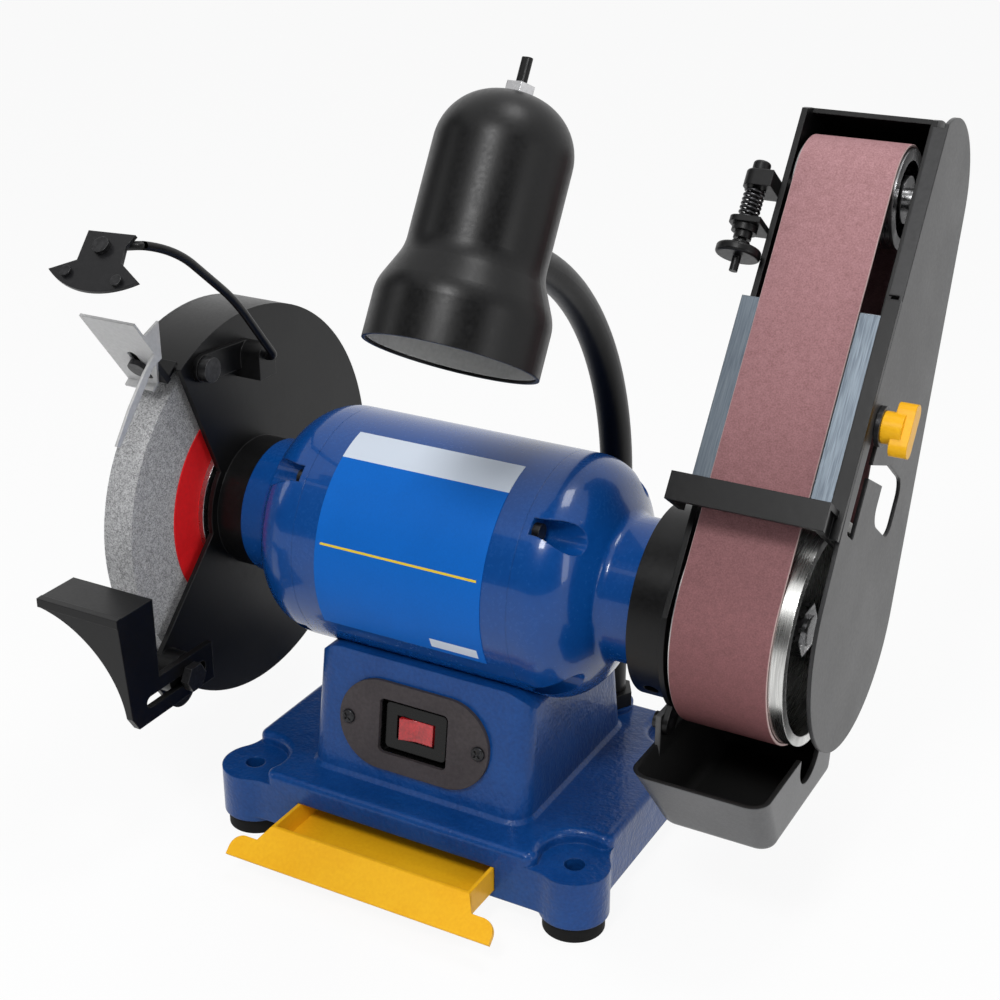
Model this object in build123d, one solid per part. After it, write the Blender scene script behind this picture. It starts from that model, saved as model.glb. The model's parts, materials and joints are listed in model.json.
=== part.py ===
import os
from math import atan2, cos, degrees, hypot, pi, radians, sin, sqrt

from build123d import *

# Bench grinder with a belt sander on its right end and a lamp behind the motor.
# Millimetres. X runs along the motor shaft, -Y is the front, Z is up.
# The origin is the centre of the four bench bolts, at the level of the bench.

# Clearances
touch_gap = 0.3
sliding_gap = 0.5
running_gap = 0.05
screw_gap = 0.3

# Base casting
base_length = 228
base_depth = 170
base_height = 32.5
base_corner = 18
base_edge = 4
base_lift = 12.5
foot_height = 9.5
foot_radius = 16.8
bolt_inset_x = 11.5
bolt_inset_y = 15.5
bolt_hole_radius = 5.5
pad_radius = 19
pad_sink = 7.5
pad_blend = 20
pad_brow = 6
plinth_length = 137
plinth_setback = 21.5
plinth_top_length = 133
plinth_lean = 10
plinth_corner = 11
plinth_shoulder = 18
plinth_flare = 2
plinth_wall = 7
plinth_drop = 50
saddle_wall = 6

# Switch in the front of the plinth
switch_x = -1
switch_height = 81
switch_plate_length = 94
switch_plate_width = 52
switch_plate_thickness = 2.5
switch_screw_spacing = 82
switch_screw_radius = 4
switch_screw_head = 1.8
switch_screw_slot = 1.2
switch_screw_sink = 1
well_length = 45
well_width = 34
well_rim = 1
well_corner = 3
housing_depth = 22
bezel_length = 38
bezel_width = 27
bezel_corner = 2.5
bezel_sink = 5
rocker_length = 20
rocker_width = 12.5
rocker_height = 8
rocker_dip = 1.5
rocker_tilt = 7
rocker_side_gap = 2

# Coolant tray
tray_width = 125
tray_length = 150
tray_height = 14.5
tray_wall = 2
tray_floor_lift = 4
tray_pull = 25.5
tray_closed_room = 3
lip_width = 165
lip_reach = 16
lip_thickness = 2.5
lip_wing_height = 12.5
lip_wing_slope = 5
lip_wing_round = 8

# Motor
axis_height = 168.7
shaft_y = -2.5
motor_x = -5
motor_radius = 66.2
barrel_length = 131
barrel_wall = 3
bell_length = 53.5
bell_shoulder = 22
bell_slope = 15
bell_wall = 5
bell_round = 26
neck_radius = 39
neck_round = 6
neck_extra = 5.8
bearing_bore_radius = 10
bearing_outer_radius = 23.5
bearing_width = 14
bearing_lip = 3
shaft_hole_gap = 2.5
through_bolt_circle = 59.5
through_bolt_radius = 2.4
through_bolt_head = 4.6
through_bolt_head_height = 4
pocket_radius = 8
pocket_start = 4
boss_wall = 2.5
stator_length = 70
stator_bore_radius = 38
air_gap = 0.5
winding_length = 22
winding_thickness = 14
nameplate_length = 101
nameplate_thickness = 0.4
nameplate_top = 75
nameplate_bottom = -28
capacitor_radius = 15
capacitor_length = 70
gland_x = -34
gland_height = 62
gland_radius = 8
gland_flange = 11
gland_flange_thickness = 4
gland_nose = 12
cable_radius = 4

# Grinding wheel and guard
arbor_radius = 7.94
guard_hub_length = 17
guard_hub_radius = 38
guard_plate = 3
guard_band = 3
guard_room = 13.4
guard_depth = 38
guard_cover = 2.5
guard_bolt_circle = 32
guard_bolt_angles = (30, 150, 210, 330)
guard_bolt_radius = 2.5
guard_bolt_head = 5
guard_bolt_sink = 1.5
flange_space = 1.8
wheel_flange = 3.2
wheel_flange_radius = 45
blotter = 0.8
blotter_radius = 66
wheel_radius = 101.6
wheel_width = 19
wheel_nut_width = 24
wheel_nut_height = 8
shaft_tip = 2
keep_radius = 43
open_hub_top = 138
open_rim_top = 121.6
open_hub_bottom = 187.5
open_rim_bottom = 211.5
band_start = 121
band_end = 222
cap_radius = 36
cap_rise = 9
cover_screw_angles = (100, 0, 240)
cover_screw_inset = 8
cover_screw_radius = 1.6
cover_boss_radius = 3.2
cover_screw_head = 3.2
cover_screw_head_height = 2

# Spark arrestor: a bent plate on the front end of the guard band
arrestor_angle = 126.5
arrestor_left_overhang = 3
arrestor_right_overhang = 5
arrestor_plate = 1.5
arrestor_start = 4
arrestor_rise = 53
arrestor_leg = 4
arrestor_cut = 27
arrestor_ear = (
    (0, 42.5), (14, 39), (2, 22.5), (-6, 24.5), (-50, 15.5), (-51.5, 18), (-32, 24), (-12, 28), (0, 29),
)
arrestor_slot = 6
arrestor_slot_length = 24
arrestor_screw_rise = 14
arrestor_screw_radius = 2.5
arrestor_screw_head = 6
arrestor_screw_head_height = 3
arrestor_lug_width = 16
arrestor_lug_thickness = 3.5
arrestor_lug_rise = 23

# Tool rest
rest_top_drop = 10.3
rest_overhang = 11.2
rest_depth = 29
rest_wheel_gap = 14.4
rest_plate = 5
rest_apron = 4
rest_drop = 70
rest_slant = 5
rest_toe = 8
rest_curve = 0.18
rest_boss_length = 11.2
rest_arm_height = 23
rest_arm_back = 70
rest_arm_thickness = 4
rest_slot_width = 7
rest_slot_front = 124
rest_slot_back = 80
rest_bolt_y = 91
rest_bolt_radius = 3
rest_bolt_head = 7
rest_bolt_head_height = 5
rest_lug_radius = 12
rest_tab_drop = 17
rest_tab_back = 11

# Eye-shield holder
shield_y = -4
shield_rise = 92
shield_rod_radius = 2.3
shield_clamp_width = 16
shield_clamp_height = 20
shield_clamp_depth = 15
shield_strap = 3
shield_strap_radius = 8
shield_strap_y = -42.6
shield_strap_rise = 94
shield_strap_bolt = 3
shield_strap_head = 7
shield_strap_head_height = 5
shield_rod_reach = 5.5
shield_bow_y = -37
shield_bow_rise = 134
shield_bow_radius = 150
shield_knee_radius = 75
shield_knee_y = -84
shield_knee_rise = 174
shield_end_inset = 5
shield_end_y = -104.5
shield_end_rise = 181
shield_plate_tilt = 50
shield_plate = 2
shield_bolt_radius = 4.6
shield_bolt_height = 3
shield_rivet_radius = 3
shield_rivet_height = 2
shield_big_bolt = (-16.5, -7.2)
shield_rivets = ((-29.6, -24.2), (2.6, -24.7))
shield_outline = (
    (-41.6, -24.1), (-27.8, -16.3), (-30.6, 1.3), (-1.6, 2.8), (-3.7, -4.6), (-0.8, -14.2), (14.4, -22.7),
)
shield_belly = (-12, -32.5)

# Sander arm, drawn upright about the shaft and then leaned back
arm_lean = 35.1
collar_radius = 51
collar_length = 19.6
spigot_radius = 30
spigot_length = 14
collar_screw_radius = 4
collar_screw_length = 12
collar_screw_angles = (220, 310)
flange_plate = 3
flange_drive_radius = 56
flange_head_radius = 40
flange_shaft_hole = 24
belt_side_gap = 3.9
belt_width = 50.8
belt_thickness = 1.5
belt_lift = 0.3
drive_radius = 57.4
drive_inset = 0.9
drive_width = 59
drive_rim = 5
drive_web_start = 20
drive_web = 8
drive_hub_radius = 17
drive_hub_length = 42
drive_nut_width = 24
drive_nut_height = 9
idler_radius = 25.4
idler_rise = 218
idler_width = 53
idler_axle_radius = 6
idler_rim = 6
right_flange_gap = 1.5
head_band = 2.5
head_band_drop = 68
head_band_front = 13
right_bar_start = 40
right_bar_back = 28
platen_start = 52
platen_drop = 69
platen_thickness = 3.5
platen_gap = 0.7
platen_overhang = 3
platen_right_inset = 1
cover_gap = 6.5
cover_plate = 2
cover_drive_radius = 66
cover_lobe_back = 6.5
cover_lobe_rise = 9.5
cover_head_radius = 42
cover_front = 63
cover_slot_width = 13
cover_slot_round = 2
cover_slot_start = 42
cover_slot_end = 104
cover_slot_n = 47
cover_fold_start = 158
window_front = 46
window_front_low = 72.5
window_front_top = 78.5
window_bend = 8
window_top = 88.5
window_back = -24
window_low = 57
window_leg = 13
window_leg_top = 76.5
window_round = 9
window_tight = 2
spacer_radius = 5
spacer_low = 110
spacer_high = 170
spacer_n = 33
ledge_overhang = 3.5
ledge_top = 50
ledge_height = 14
ledge_gap = 1.8
ledge_depth = 23
ledge_plate = 3
strip_plate = 3
strip_gap = 1
strip_back = 40
strip_top = 155
knob_rise = 98
knob_stud_radius = 3
knob_washer_radius = 10
knob_washer = 2.5
knob_hub_radius = 8
knob_hub_length = 10
knob_wing_span = 27
knob_wing_height = 10
knob_wing_length = 9
tracking_reach = 9.5
tracking_n = 61
tracking_block_width = 13
tracking_block_round = 6
tracking_rim_round = 1.5
tracking_grip = 7
tracking_block_drop = 6
tracking_block_height = 9
tracking_lever_drop = 32
tracking_lever_plate = 3
tracking_lever_width = 16
tracking_boss_radius = 6.5
tracking_boss = 7
tracking_waist_radius = 4.6
tracking_knob_radius = 11.5
tracking_knob = 5
tracking_hub = 3
tracking_knob_drop = 46.5
tracking_screw_radius = 2.2
tracking_screw_drop = 59
tracking_head_radius = 4.5
tracking_head = 5
spring_radius = 4.7
spring_wire_radius = 0.75
spring_turns = 6

# Dust scoop under the drive wheel
scoop_left_overhang = 4
scoop_right_overhang = 2.5
scoop_front = -82
scoop_back = 32
scoop_rim_drop = 58.2
scoop_height = 39
scoop_taper_left = 9
scoop_taper_right = 1.5
scoop_taper_front = 23
scoop_taper_back = 2
scoop_corner = 10
scoop_edge = 8
scoop_wall = 2.5
scoop_notch_radius = 15
scoop_notch_y = -12
scoop_tab = 3
scoop_tab_width = 14
scoop_tab_reach = 30
scoop_lug_y = 41
scoop_lug_drop = 48
scoop_lug_radius = 6.5
scoop_bolt_radius = 2.5
scoop_bolt_head = 4.5
scoop_bolt_head_height = 3

# Lamp
lamp_x = 53
lamp_y = 76
lamp_boss_radius = 14
lamp_boss_rise = 3
neck_tube_radius = 9
neck_spigot_radius = 6
neck_spigot_length = 18
neck_straight = 184.3
neck_bend_radius = 175
neck_bend = 66.8
neck_nut_width = 24
neck_nut_height = 9
knuckle_reach = 13
knuckle_radius = 5.5
knuckle_width = 13
cheek_plate = 3
cheek_radius = 7.5
lamp_pin_radius = 2.4
shade_lean = 30.5
shade_grip_height = 60
shade_grip_gap = 7.5
shade_rim_radius = 41.6
shade_band = 26
shade_flare_end = 45
shade_radius = 32.8
shade_height = 125
shade_dome = 28
shade_blend = 20
shade_wall = 1.6
liner_thickness = 0.8
liner_inset = 1.5
liner_end = 92
holder_radius = 15
holder_length = 32
bulb_radius = 19
bulb_neck_radius = 11
bulb_length = 52
switch_nut_width = 13
switch_nut_height = 5
key_stem_radius = 2
key_paddle_width = 5.5
key_paddle_thickness = 3.6
key_paddle_length = 13

# Levels and planes worked out from the sizes above
base_top = base_lift + base_height
pad_top = base_top - pad_sink
plinth_top = axis_height - plinth_drop
plinth_depth = base_depth - 2 * plinth_setback
plinth_top_depth = plinth_depth - 2 * plinth_lean
bolt_spacing_x = base_length - 2 * bolt_inset_x
bolt_spacing_y = base_depth - 2 * bolt_inset_y
bolt_points = [(x * bolt_spacing_x / 2, y * bolt_spacing_y / 2) for x in (-1, 1) for y in (-1, 1)]
front_angle = 180

barrel_left = motor_x - barrel_length / 2
barrel_right = motor_x + barrel_length / 2
left_neck_end = barrel_left - bell_length
right_neck_end = barrel_right + bell_length + neck_extra

plate_right = left_neck_end - guard_hub_length
plate_left = plate_right - guard_plate
inner_flange_right = plate_left - flange_space
inner_flange_left = inner_flange_right - wheel_flange
wheel_right = inner_flange_left - blotter
wheel_left = wheel_right - wheel_width
outer_flange_right = wheel_left - blotter
outer_flange_left = outer_flange_right - wheel_flange
wheel_nut_left = outer_flange_left - wheel_nut_height
shaft_left_end = wheel_nut_left - shaft_tip
guard_left = plate_right - guard_depth
band_left = guard_left + guard_cover
guard_radius = wheel_radius + guard_room
cover_screw_circle = guard_radius - cover_screw_inset
arrestor_left = wheel_left - arrestor_left_overhang
arrestor_right = plate_right + arrestor_right_overhang
arrestor_middle = (arrestor_left + arrestor_right) / 2
arrestor_low = guard_radius - arrestor_start
arrestor_top = guard_radius + arrestor_rise
arrestor_screw_at = guard_radius + arrestor_screw_rise
arrestor_lug_top = guard_radius + arrestor_lug_rise

collar_left = right_neck_end + touch_gap
flange_left = collar_left + collar_length
flange_right = flange_left + flange_plate
belt_left = flange_right + belt_side_gap
belt_right = belt_left + belt_width
drive_left = belt_left - drive_inset
drive_right = drive_left + drive_width
bar_left = drive_right + right_flange_gap
bar_right = bar_left + flange_plate
strip_left = bar_right + strip_gap
strip_right = strip_left + strip_plate
cover_left = bar_right + cover_gap
cover_right = cover_left + cover_plate
ledge_right = cover_left - sliding_gap
ledge_left = flange_left - ledge_overhang
drive_nut_left = drive_left + drive_hub_length
shaft_right_end = drive_nut_left + drive_nut_height + shaft_tip

belt_inner_drive = drive_radius + belt_lift
belt_inner_idler = idler_radius + belt_lift
belt_front = belt_inner_drive + belt_thickness
idler_n = drive_radius - idler_radius
platen_front = belt_inner_drive - platen_gap
frame_front = platen_front - platen_thickness
arm_place = Pos(0, shaft_y, axis_height) * Rot(-arm_lean, 0, 0)
idler_point = (-idler_n, idler_rise)
head_band_start = idler_rise - head_band_drop
platen_end = idler_rise - platen_drop
tracking_block_top = idler_rise - tracking_block_drop
tracking_lever_top = idler_rise - tracking_lever_drop
tracking_knob_top = idler_rise - tracking_knob_drop
tracking_screw_end = idler_rise - tracking_screw_drop


def block(x0, x1, y0, y1, z0, z1):
    """Box between two corners."""
    return Pos((x0 + x1) / 2, (y0 + y1) / 2, (z0 + z1) / 2) * Box(x1 - x0, y1 - y0, z1 - z0)


def outline(*points):
    """Closed flat shape with straight sides."""
    return make_face(Polyline(*points, close=True))


def across(sketch, x0, x1):
    """Sketch drawn in (y, z) about the shaft, thickened from x0 to x1."""
    return Pos(x0, shaft_y, axis_height) * extrude(Plane.YZ * sketch, amount=x1 - x0)


def disc(x0, x1, radius, bore=0, y=0, z=0):
    """Round piece along X, at (y, z) from the shaft."""
    ring = Circle(radius) - Circle(bore) if bore else Circle(radius)
    return across(Pos(y, z) * ring, x0, x1)


def turned(points, rounds=()):
    """Solid turned about the shaft from (x, radius) points; rounds are (point number, radius)."""
    face = outline(*[(x, r) for x, r in points])
    for number, radius in rounds:
        corner = points[number]
        vertex = min(face.vertices(), key=lambda v: hypot(v.X - corner[0], v.Y - corner[1]))
        face = fillet(vertex, radius)
    return Pos(0, shaft_y, axis_height) * revolve(Plane.XZ * face, axis=Axis.X)


def polar(radius, angle):
    """Point at an angle from the back, turning over the top to the front."""
    return (radius * cos(radians(angle)), radius * sin(radians(angle)))


def sector(angle0, angle1, radius):
    """Wedge from the shaft that covers the angles between two rays."""
    steps = [angle0 + (angle1 - angle0) * i / 4 for i in range(5)]
    return outline((0, 0), *[polar(radius, a) for a in steps])


def hex_nut(x0, x1, width, bore=0, y=0, z=0):
    """Six-sided nut along X."""
    ring = RegularPolygon(width / sqrt(3), 6)
    if bore:
        ring -= Circle(bore)
    return across(Pos(y, z) * ring, x0, x1)


def hull(first, first_radius, second, second_radius):
    """Band-shaped outline around two circles."""
    edges = (Pos(*first) * Circle(first_radius)).edges() + (Pos(*second) * Circle(second_radius)).edges()
    return make_hull(edges)


def arm_plate(sketch, x0, x1):
    """Sketch drawn in (y, z) on the upright arm, thickened along X and leaned back."""
    return arm_place * Pos(x0, 0, 0) * extrude(Plane.YZ * sketch, amount=x1 - x0)


def arm_block(x0, x1, n0, n1, s0, s1):
    """Box on the arm: n is the distance in front of the shaft, s the distance up the arm."""
    return arm_place * block(x0, x1, -n1, -n0, s0, s1)


def arm_disc(x0, x1, radius, n, s, bore=0):
    """Round piece along X at a place on the arm."""
    ring = Circle(radius) - Circle(bore) if bore else Circle(radius)
    return arm_plate(Pos(-n, s) * ring, x0, x1)


def group(*solids):
    """Several separate solids in one node."""
    return Compound(children=[solid for solid in solids])


# Base

plinth_height = plinth_top - base_top
plinth_tilt = degrees(atan2((plinth_depth - plinth_top_depth) / 2, plinth_height))


def plinth_size(z):
    """Length and depth of the plinth at a height."""
    share = (z - base_top) / plinth_height
    length = plinth_length + (plinth_top_length - plinth_length) * share
    depth = plinth_depth + (plinth_top_depth - plinth_depth) * share
    return length, depth


def plinth_slice(z, inset=0):
    """Level outline of the plinth, drawn in by an inset."""
    length, depth = plinth_size(z)
    corner = max(plinth_corner - inset, plinth_corner / 3)
    return Pos(0, 0, z) * RectangleRounded(length - 2 * inset, depth - 2 * inset, corner)


def plinth_face(x, z, side):
    """Plane on the front (-1) or back (1) of the plinth, facing outwards."""
    lean = radians(plinth_tilt)
    return Plane(
        origin=(x, side * plinth_size(z)[1] / 2, z),
        x_dir=(-side, 0, 0),
        z_dir=(0, side * cos(lean), sin(lean)),
    )


switch_plane = plinth_face(switch_x, switch_height, -1)
gland_plane = plinth_face(gland_x, gland_height, 1)

tray_bottom = base_lift + tray_floor_lift
tray_top = tray_bottom + tray_height
lip_back = -base_depth / 2 - tray_pull
tray_back = lip_back + tray_length
tray_well_back = tray_back + tray_pull + tray_closed_room
cavity_floor = tray_top + touch_gap + plinth_wall
cavity_top = axis_height - motor_radius - saddle_wall
well_back = housing_depth + sliding_gap


def wall_corners(plan):
    """Corners of the base outline where a round pad meets a straight wall."""
    half_x = base_length / 2
    half_y = base_depth / 2
    return [v for v in plan.vertices()
            if abs(abs(v.X) - half_x) < running_gap or abs(abs(v.Y) - half_y) < running_gap]


def cast_base():
    lower = RectangleRounded(base_length, base_depth, base_corner)
    upper = RectangleRounded(base_length, base_depth, base_corner)
    for x, y in bolt_points:
        lower += Pos(x, y) * Circle(pad_radius)
        upper -= Pos(x, y) * Circle(pad_radius)
    lower = fillet(wall_corners(lower), pad_blend)
    upper = fillet(wall_corners(upper), pad_brow)
    plate = Pos(0, 0, pad_top) * extrude(upper, base_top - pad_top)
    plate = fillet(plate.edges().group_by(Axis.Z)[-1], base_edge)
    plate += Pos(0, 0, base_lift) * extrude(lower, pad_top - base_lift)
    for x, y in bolt_points:
        plate += Pos(x, y, foot_height) * extrude(Circle(pad_radius), pad_top - foot_height)
    plinth = loft([plinth_slice(base_top), plinth_slice(plinth_top)])
    front_view = Pos(0, plinth_top / 2) * RectangleRounded(plinth_length, plinth_top, plinth_shoulder)
    plinth &= extrude(Plane.XZ * front_view, amount=base_depth, both=True)
    flare = loft([plinth_slice(base_top, -plinth_flare), plinth_slice(base_top + plinth_flare)])
    boss_height = base_height + lamp_boss_rise
    lamp_boss = Pos(lamp_x, lamp_y, base_lift) * extrude(Circle(lamp_boss_radius), boss_height)
    body = plate + plinth + flare + lamp_boss
    body -= disc(-base_length, base_length, motor_radius + running_gap)
    half = tray_width / 2 + sliding_gap
    body -= block(-half, half, -base_depth, tray_well_back, tray_bottom - touch_gap, tray_top + touch_gap)
    body -= loft([plinth_slice(cavity_floor, plinth_wall), plinth_slice(cavity_top, plinth_wall)])
    well = Rectangle(well_length + sliding_gap, well_width + sliding_gap)
    body -= extrude(switch_plane * well, amount=-well_back)
    body -= extrude(gland_plane * Circle(gland_radius + running_gap), amount=-3 * plinth_wall)
    for x, y in bolt_points:
        body -= Pos(x, y, 0) * extrude(Circle(bolt_hole_radius), base_top)
    boss_top = base_top + lamp_boss_rise
    body -= Pos(lamp_x, lamp_y, boss_top - neck_spigot_length - sliding_gap) * extrude(
        Circle(neck_spigot_radius + running_gap), base_height
    )
    nut_room = Circle(neck_nut_width / sqrt(3) + touch_gap)
    return body - Pos(lamp_x, lamp_y, boss_top) * extrude(nut_room, plinth_height)


def rubber_feet():
    ring = Circle(foot_radius) - Circle(bolt_hole_radius)
    return group(*[Pos(x, y, 0) * extrude(ring, foot_height) for x, y in bolt_points])


# Switch

screw_places = [(-switch_screw_spacing / 2, 0), (switch_screw_spacing / 2, 0)]
bezel_level = -well_rim
bezel_floor = bezel_level - bezel_sink
rocker_level = bezel_floor + rocker_height / 4
well_mouth = RectangleRounded(well_length - 2 * well_rim, well_width - 2 * well_rim, well_corner)


def switch_plate():
    sketch = SlotOverall(switch_plate_length, switch_plate_width) - well_mouth
    return extrude(switch_plane * sketch, amount=switch_plate_thickness)


def switch_plate_screws():
    face = switch_plane.offset(switch_plate_thickness)
    top = face.offset(switch_screw_head)
    bar = SlotOverall(1.4 * switch_screw_radius, switch_screw_slot)
    screws = []
    for x, y in screw_places:
        screw = extrude(face * Pos(x, y) * Circle(switch_screw_radius), amount=switch_screw_head)
        screw = fillet(screw.edges().sort_by(Axis.Z)[-1], switch_screw_sink)
        for turn in (45, 135):
            screw -= extrude(top * Pos(x, y) * Rot(0, 0, turn) * bar, amount=-switch_screw_sink)
        screws.append(screw)
    return group(*screws)


def switch_housing():
    shell = extrude(switch_plane * Rectangle(well_length, well_width), amount=-housing_depth)
    shell -= extrude(switch_plane * well_mouth, amount=bezel_floor)
    bezel = RectangleRounded(bezel_length, bezel_width, bezel_corner)
    shell += extrude(switch_plane.offset(bezel_floor) * bezel, amount=bezel_sink)
    pocket = Rectangle(rocker_length + 2 * rocker_side_gap, rocker_width + 2 * sliding_gap)
    shell -= extrude(switch_plane.offset(bezel_level) * pocket, amount=-(bezel_sink + rocker_height))
    return shell


def rocker_switch():
    half = rocker_length / 2
    top = rocker_height / 2
    side = outline((-half, -top), (half, -top), (half, top), (0, top - rocker_dip), (-half, top))
    rocker = extrude(Plane.XZ * side, amount=rocker_width / 2, both=True)
    return switch_plane.location * Pos(0, 0, rocker_level) * Rot(0, rocker_tilt, 0) * rocker


# Coolant tray

def coolant_tray():
    half = tray_width / 2
    tray = block(-half, half, lip_back, tray_back, tray_bottom, tray_top)
    tray -= block(
        -half + tray_wall, half - tray_wall, lip_back + tray_wall, tray_back - tray_wall,
        tray_bottom + tray_wall, tray_top + tray_wall,
    )
    tip = lip_width / 2
    rise = hypot(lip_reach, tray_height)
    shoulder = half + lip_wing_slope
    sheet = outline(
        (-tip, 0), (tip, 0), (tip, lip_wing_height), (shoulder, lip_wing_height), (half, rise),
        (-half, rise), (-shoulder, lip_wing_height), (-tip, lip_wing_height),
    )
    ends = [v for v in sheet.vertices() if abs(v.X) > shoulder + 1 and v.Y > 1]
    sheet = fillet(ends, lip_wing_round)
    slope = Plane(
        origin=(0, lip_back - lip_reach, tray_bottom),
        x_dir=(1, 0, 0),
        z_dir=(0, -tray_height, lip_reach),
    )
    return tray + extrude(slope * sheet, amount=-lip_thickness)


# Motor

def bell_profile():
    """Outer and inner (distance from the barrel, radius) points of an end bell."""
    seat = bell_length - bearing_lip
    slope_end = bell_shoulder + bell_slope
    outer = [
        (0, motor_radius),
        (bell_shoulder, motor_radius),
        (slope_end, neck_radius),
        (bell_length, neck_radius),
    ]
    inner = [
        (bell_length, bearing_bore_radius + shaft_hole_gap),
        (seat, bearing_bore_radius + shaft_hole_gap),
        (seat, bearing_outer_radius + running_gap),
        (seat - bearing_width, bearing_outer_radius + running_gap),
        (seat - bearing_width, neck_radius - bell_wall),
        (slope_end - bell_wall, neck_radius - bell_wall),
        (bell_shoulder - bell_wall, motor_radius - bell_wall),
        (0, motor_radius - bell_wall),
    ]
    return outer, inner


bolt_angles = (45, 135, 225, 315)
bolt_places = [polar(through_bolt_circle, angle) for angle in bolt_angles]


def end_bell(start, side):
    """End bell that begins at the barrel end and runs out along side (-1 or 1)."""
    outer, inner = bell_profile()
    place = [(start + side * d, r) for d, r in outer]
    rounds = ((1, bell_round), (2, neck_round))
    full = turned(place + [(place[-1][0], 0), (place[0][0], 0)], rounds)
    hollow = turned([(start + side * d, r) for d, r in inner] + [(start, 0), (place[-1][0], 0)])
    bell = full - hollow
    stop = start + side * bell_length
    low, high = min(start, stop), max(start, stop)
    floor = start + side * pocket_start
    for y, z in bolt_places:
        bell += full & disc(low, high, pocket_radius + boss_wall, 0, y, z)
        bell -= disc(min(floor, stop), max(floor, stop), pocket_radius, 0, y, z)
        bell -= disc(low, high, through_bolt_radius + screw_gap, 0, y, z)
    return bell


def right_end_bell():
    bell = end_bell(barrel_right, 1)
    bore = bearing_bore_radius + shaft_hole_gap
    bell += disc(barrel_right + bell_length, right_neck_end, neck_radius, bore)
    bell += disc(right_neck_end, right_neck_end + spigot_length, spigot_radius, bore)
    return bell


def motor_barrel():
    return disc(barrel_left, barrel_right, motor_radius, motor_radius - barrel_wall)


def motor_through_bolts():
    left = barrel_left - pocket_start
    right = barrel_right + pocket_start
    bolts = []
    for y, z in bolt_places:
        bolt = disc(left, right, through_bolt_radius, 0, y, z)
        bolt += disc(left - through_bolt_head_height, left, through_bolt_head, 0, y, z)
        bolt += disc(right, right + through_bolt_head_height, through_bolt_head, 0, y, z)
        bolts.append(bolt)
    return group(*bolts)


def stator_core():
    core = Circle(motor_radius - barrel_wall) - Circle(stator_bore_radius)
    for y, z in bolt_places:
        core -= Pos(y, z) * Circle(through_bolt_radius + sliding_gap)
    return across(core, motor_x - stator_length / 2, motor_x + stator_length / 2)


def stator_windings():
    inner = stator_bore_radius + 1
    outer = inner + winding_thickness
    left = motor_x - stator_length / 2
    right = motor_x + stator_length / 2
    return group(
        disc(left - winding_length, left, outer, inner),
        disc(right, right + winding_length, outer, inner),
    )


def bearings():
    bore = bearing_bore_radius + running_gap
    left = left_neck_end + bearing_lip
    right = barrel_right + bell_length - bearing_lip
    return group(
        disc(left, left + bearing_width, bearing_outer_radius, bore),
        disc(right - bearing_width, right, bearing_outer_radius, bore),
    )


def start_capacitor():
    half = capacitor_length / 2
    y = plinth_depth / 6
    can = extrude(Plane.YZ * Circle(capacitor_radius), amount=capacitor_length)
    can = Pos(-half, y, cavity_floor + capacitor_radius) * can
    clip = block(-half / 2, half / 2, y - capacitor_radius / 2, y + capacitor_radius / 2,
                 cavity_floor, cavity_floor + capacitor_radius)
    return can + clip


def nameplate():
    left = motor_x - nameplate_length / 2
    sheet = Circle(motor_radius + nameplate_thickness) - Circle(motor_radius)
    sheet &= sector(front_angle - nameplate_top, front_angle - nameplate_bottom, 2 * motor_radius)
    return across(sheet, left, left + nameplate_length)


def cord_gland():
    body = extrude(gland_plane * Circle(gland_radius), amount=-2 * plinth_wall)
    body += extrude(gland_plane * Circle(gland_flange), amount=gland_flange_thickness)
    face = gland_plane.offset(gland_flange_thickness)
    tip_radius = (gland_radius + cable_radius) / 2
    body += loft([face * Circle(gland_radius), face.offset(gland_nose) * Circle(tip_radius)])
    return body - extrude(gland_plane * Circle(cable_radius), amount=6 * plinth_wall, both=True)


# Spindle

rotor_radius = stator_bore_radius - air_gap


def motor_shaft():
    return turned([
        (shaft_left_end, 0),
        (shaft_left_end, arbor_radius),
        (inner_flange_right, arbor_radius),
        (inner_flange_right, bearing_bore_radius),
        (drive_left, bearing_bore_radius),
        (drive_left, arbor_radius),
        (shaft_right_end, arbor_radius),
        (shaft_right_end, 0),
    ])


def rotor_core():
    half = stator_length / 2
    return disc(motor_x - half, motor_x + half, rotor_radius, bearing_bore_radius)


def wheel_flanges():
    return group(
        disc(inner_flange_left, inner_flange_right, wheel_flange_radius, arbor_radius),
        disc(outer_flange_left, outer_flange_right, wheel_flange_radius, arbor_radius),
    )


def wheel_blotters():
    return group(
        disc(wheel_right, inner_flange_left, blotter_radius, arbor_radius),
        disc(outer_flange_right, wheel_left, blotter_radius, arbor_radius),
    )


def grinding_wheel():
    return disc(wheel_left, wheel_right, wheel_radius, arbor_radius)


def spindle_nuts():
    return group(
        hex_nut(wheel_nut_left, outer_flange_left, wheel_nut_width, arbor_radius),
        hex_nut(drive_nut_left, drive_nut_left + drive_nut_height, drive_nut_width, arbor_radius),
    )


def drive_wheel():
    web = drive_left + drive_web_start
    wheel = disc(drive_left, drive_right, drive_radius, drive_radius - drive_rim)
    wheel += disc(web, web + drive_web, drive_radius, arbor_radius)
    wheel += disc(drive_left, drive_nut_left, drive_hub_radius, arbor_radius)
    return wheel


# Wheel guard

guard_bolt_places = [polar(guard_bolt_circle, angle) for angle in guard_bolt_angles]
rest_bolt_z = -rest_top_drop - rest_drop + rest_arm_height / 2
shield_place = (shield_y, shield_rise)
strap_place = (shield_strap_y, shield_strap_rise)


def front_opening():
    """Sector cut out of the guard in front of the wheel, clear of the hub."""
    far = 2 * guard_radius
    cut = outline(
        polar(keep_radius, open_hub_top), polar(guard_radius, open_rim_top), polar(far, open_rim_top),
        polar(far, (open_rim_top + open_rim_bottom) / 2), polar(far, open_rim_bottom),
        polar(guard_radius, open_rim_bottom), polar(keep_radius, open_hub_bottom),
    )
    return cut - Circle(keep_radius)


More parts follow.
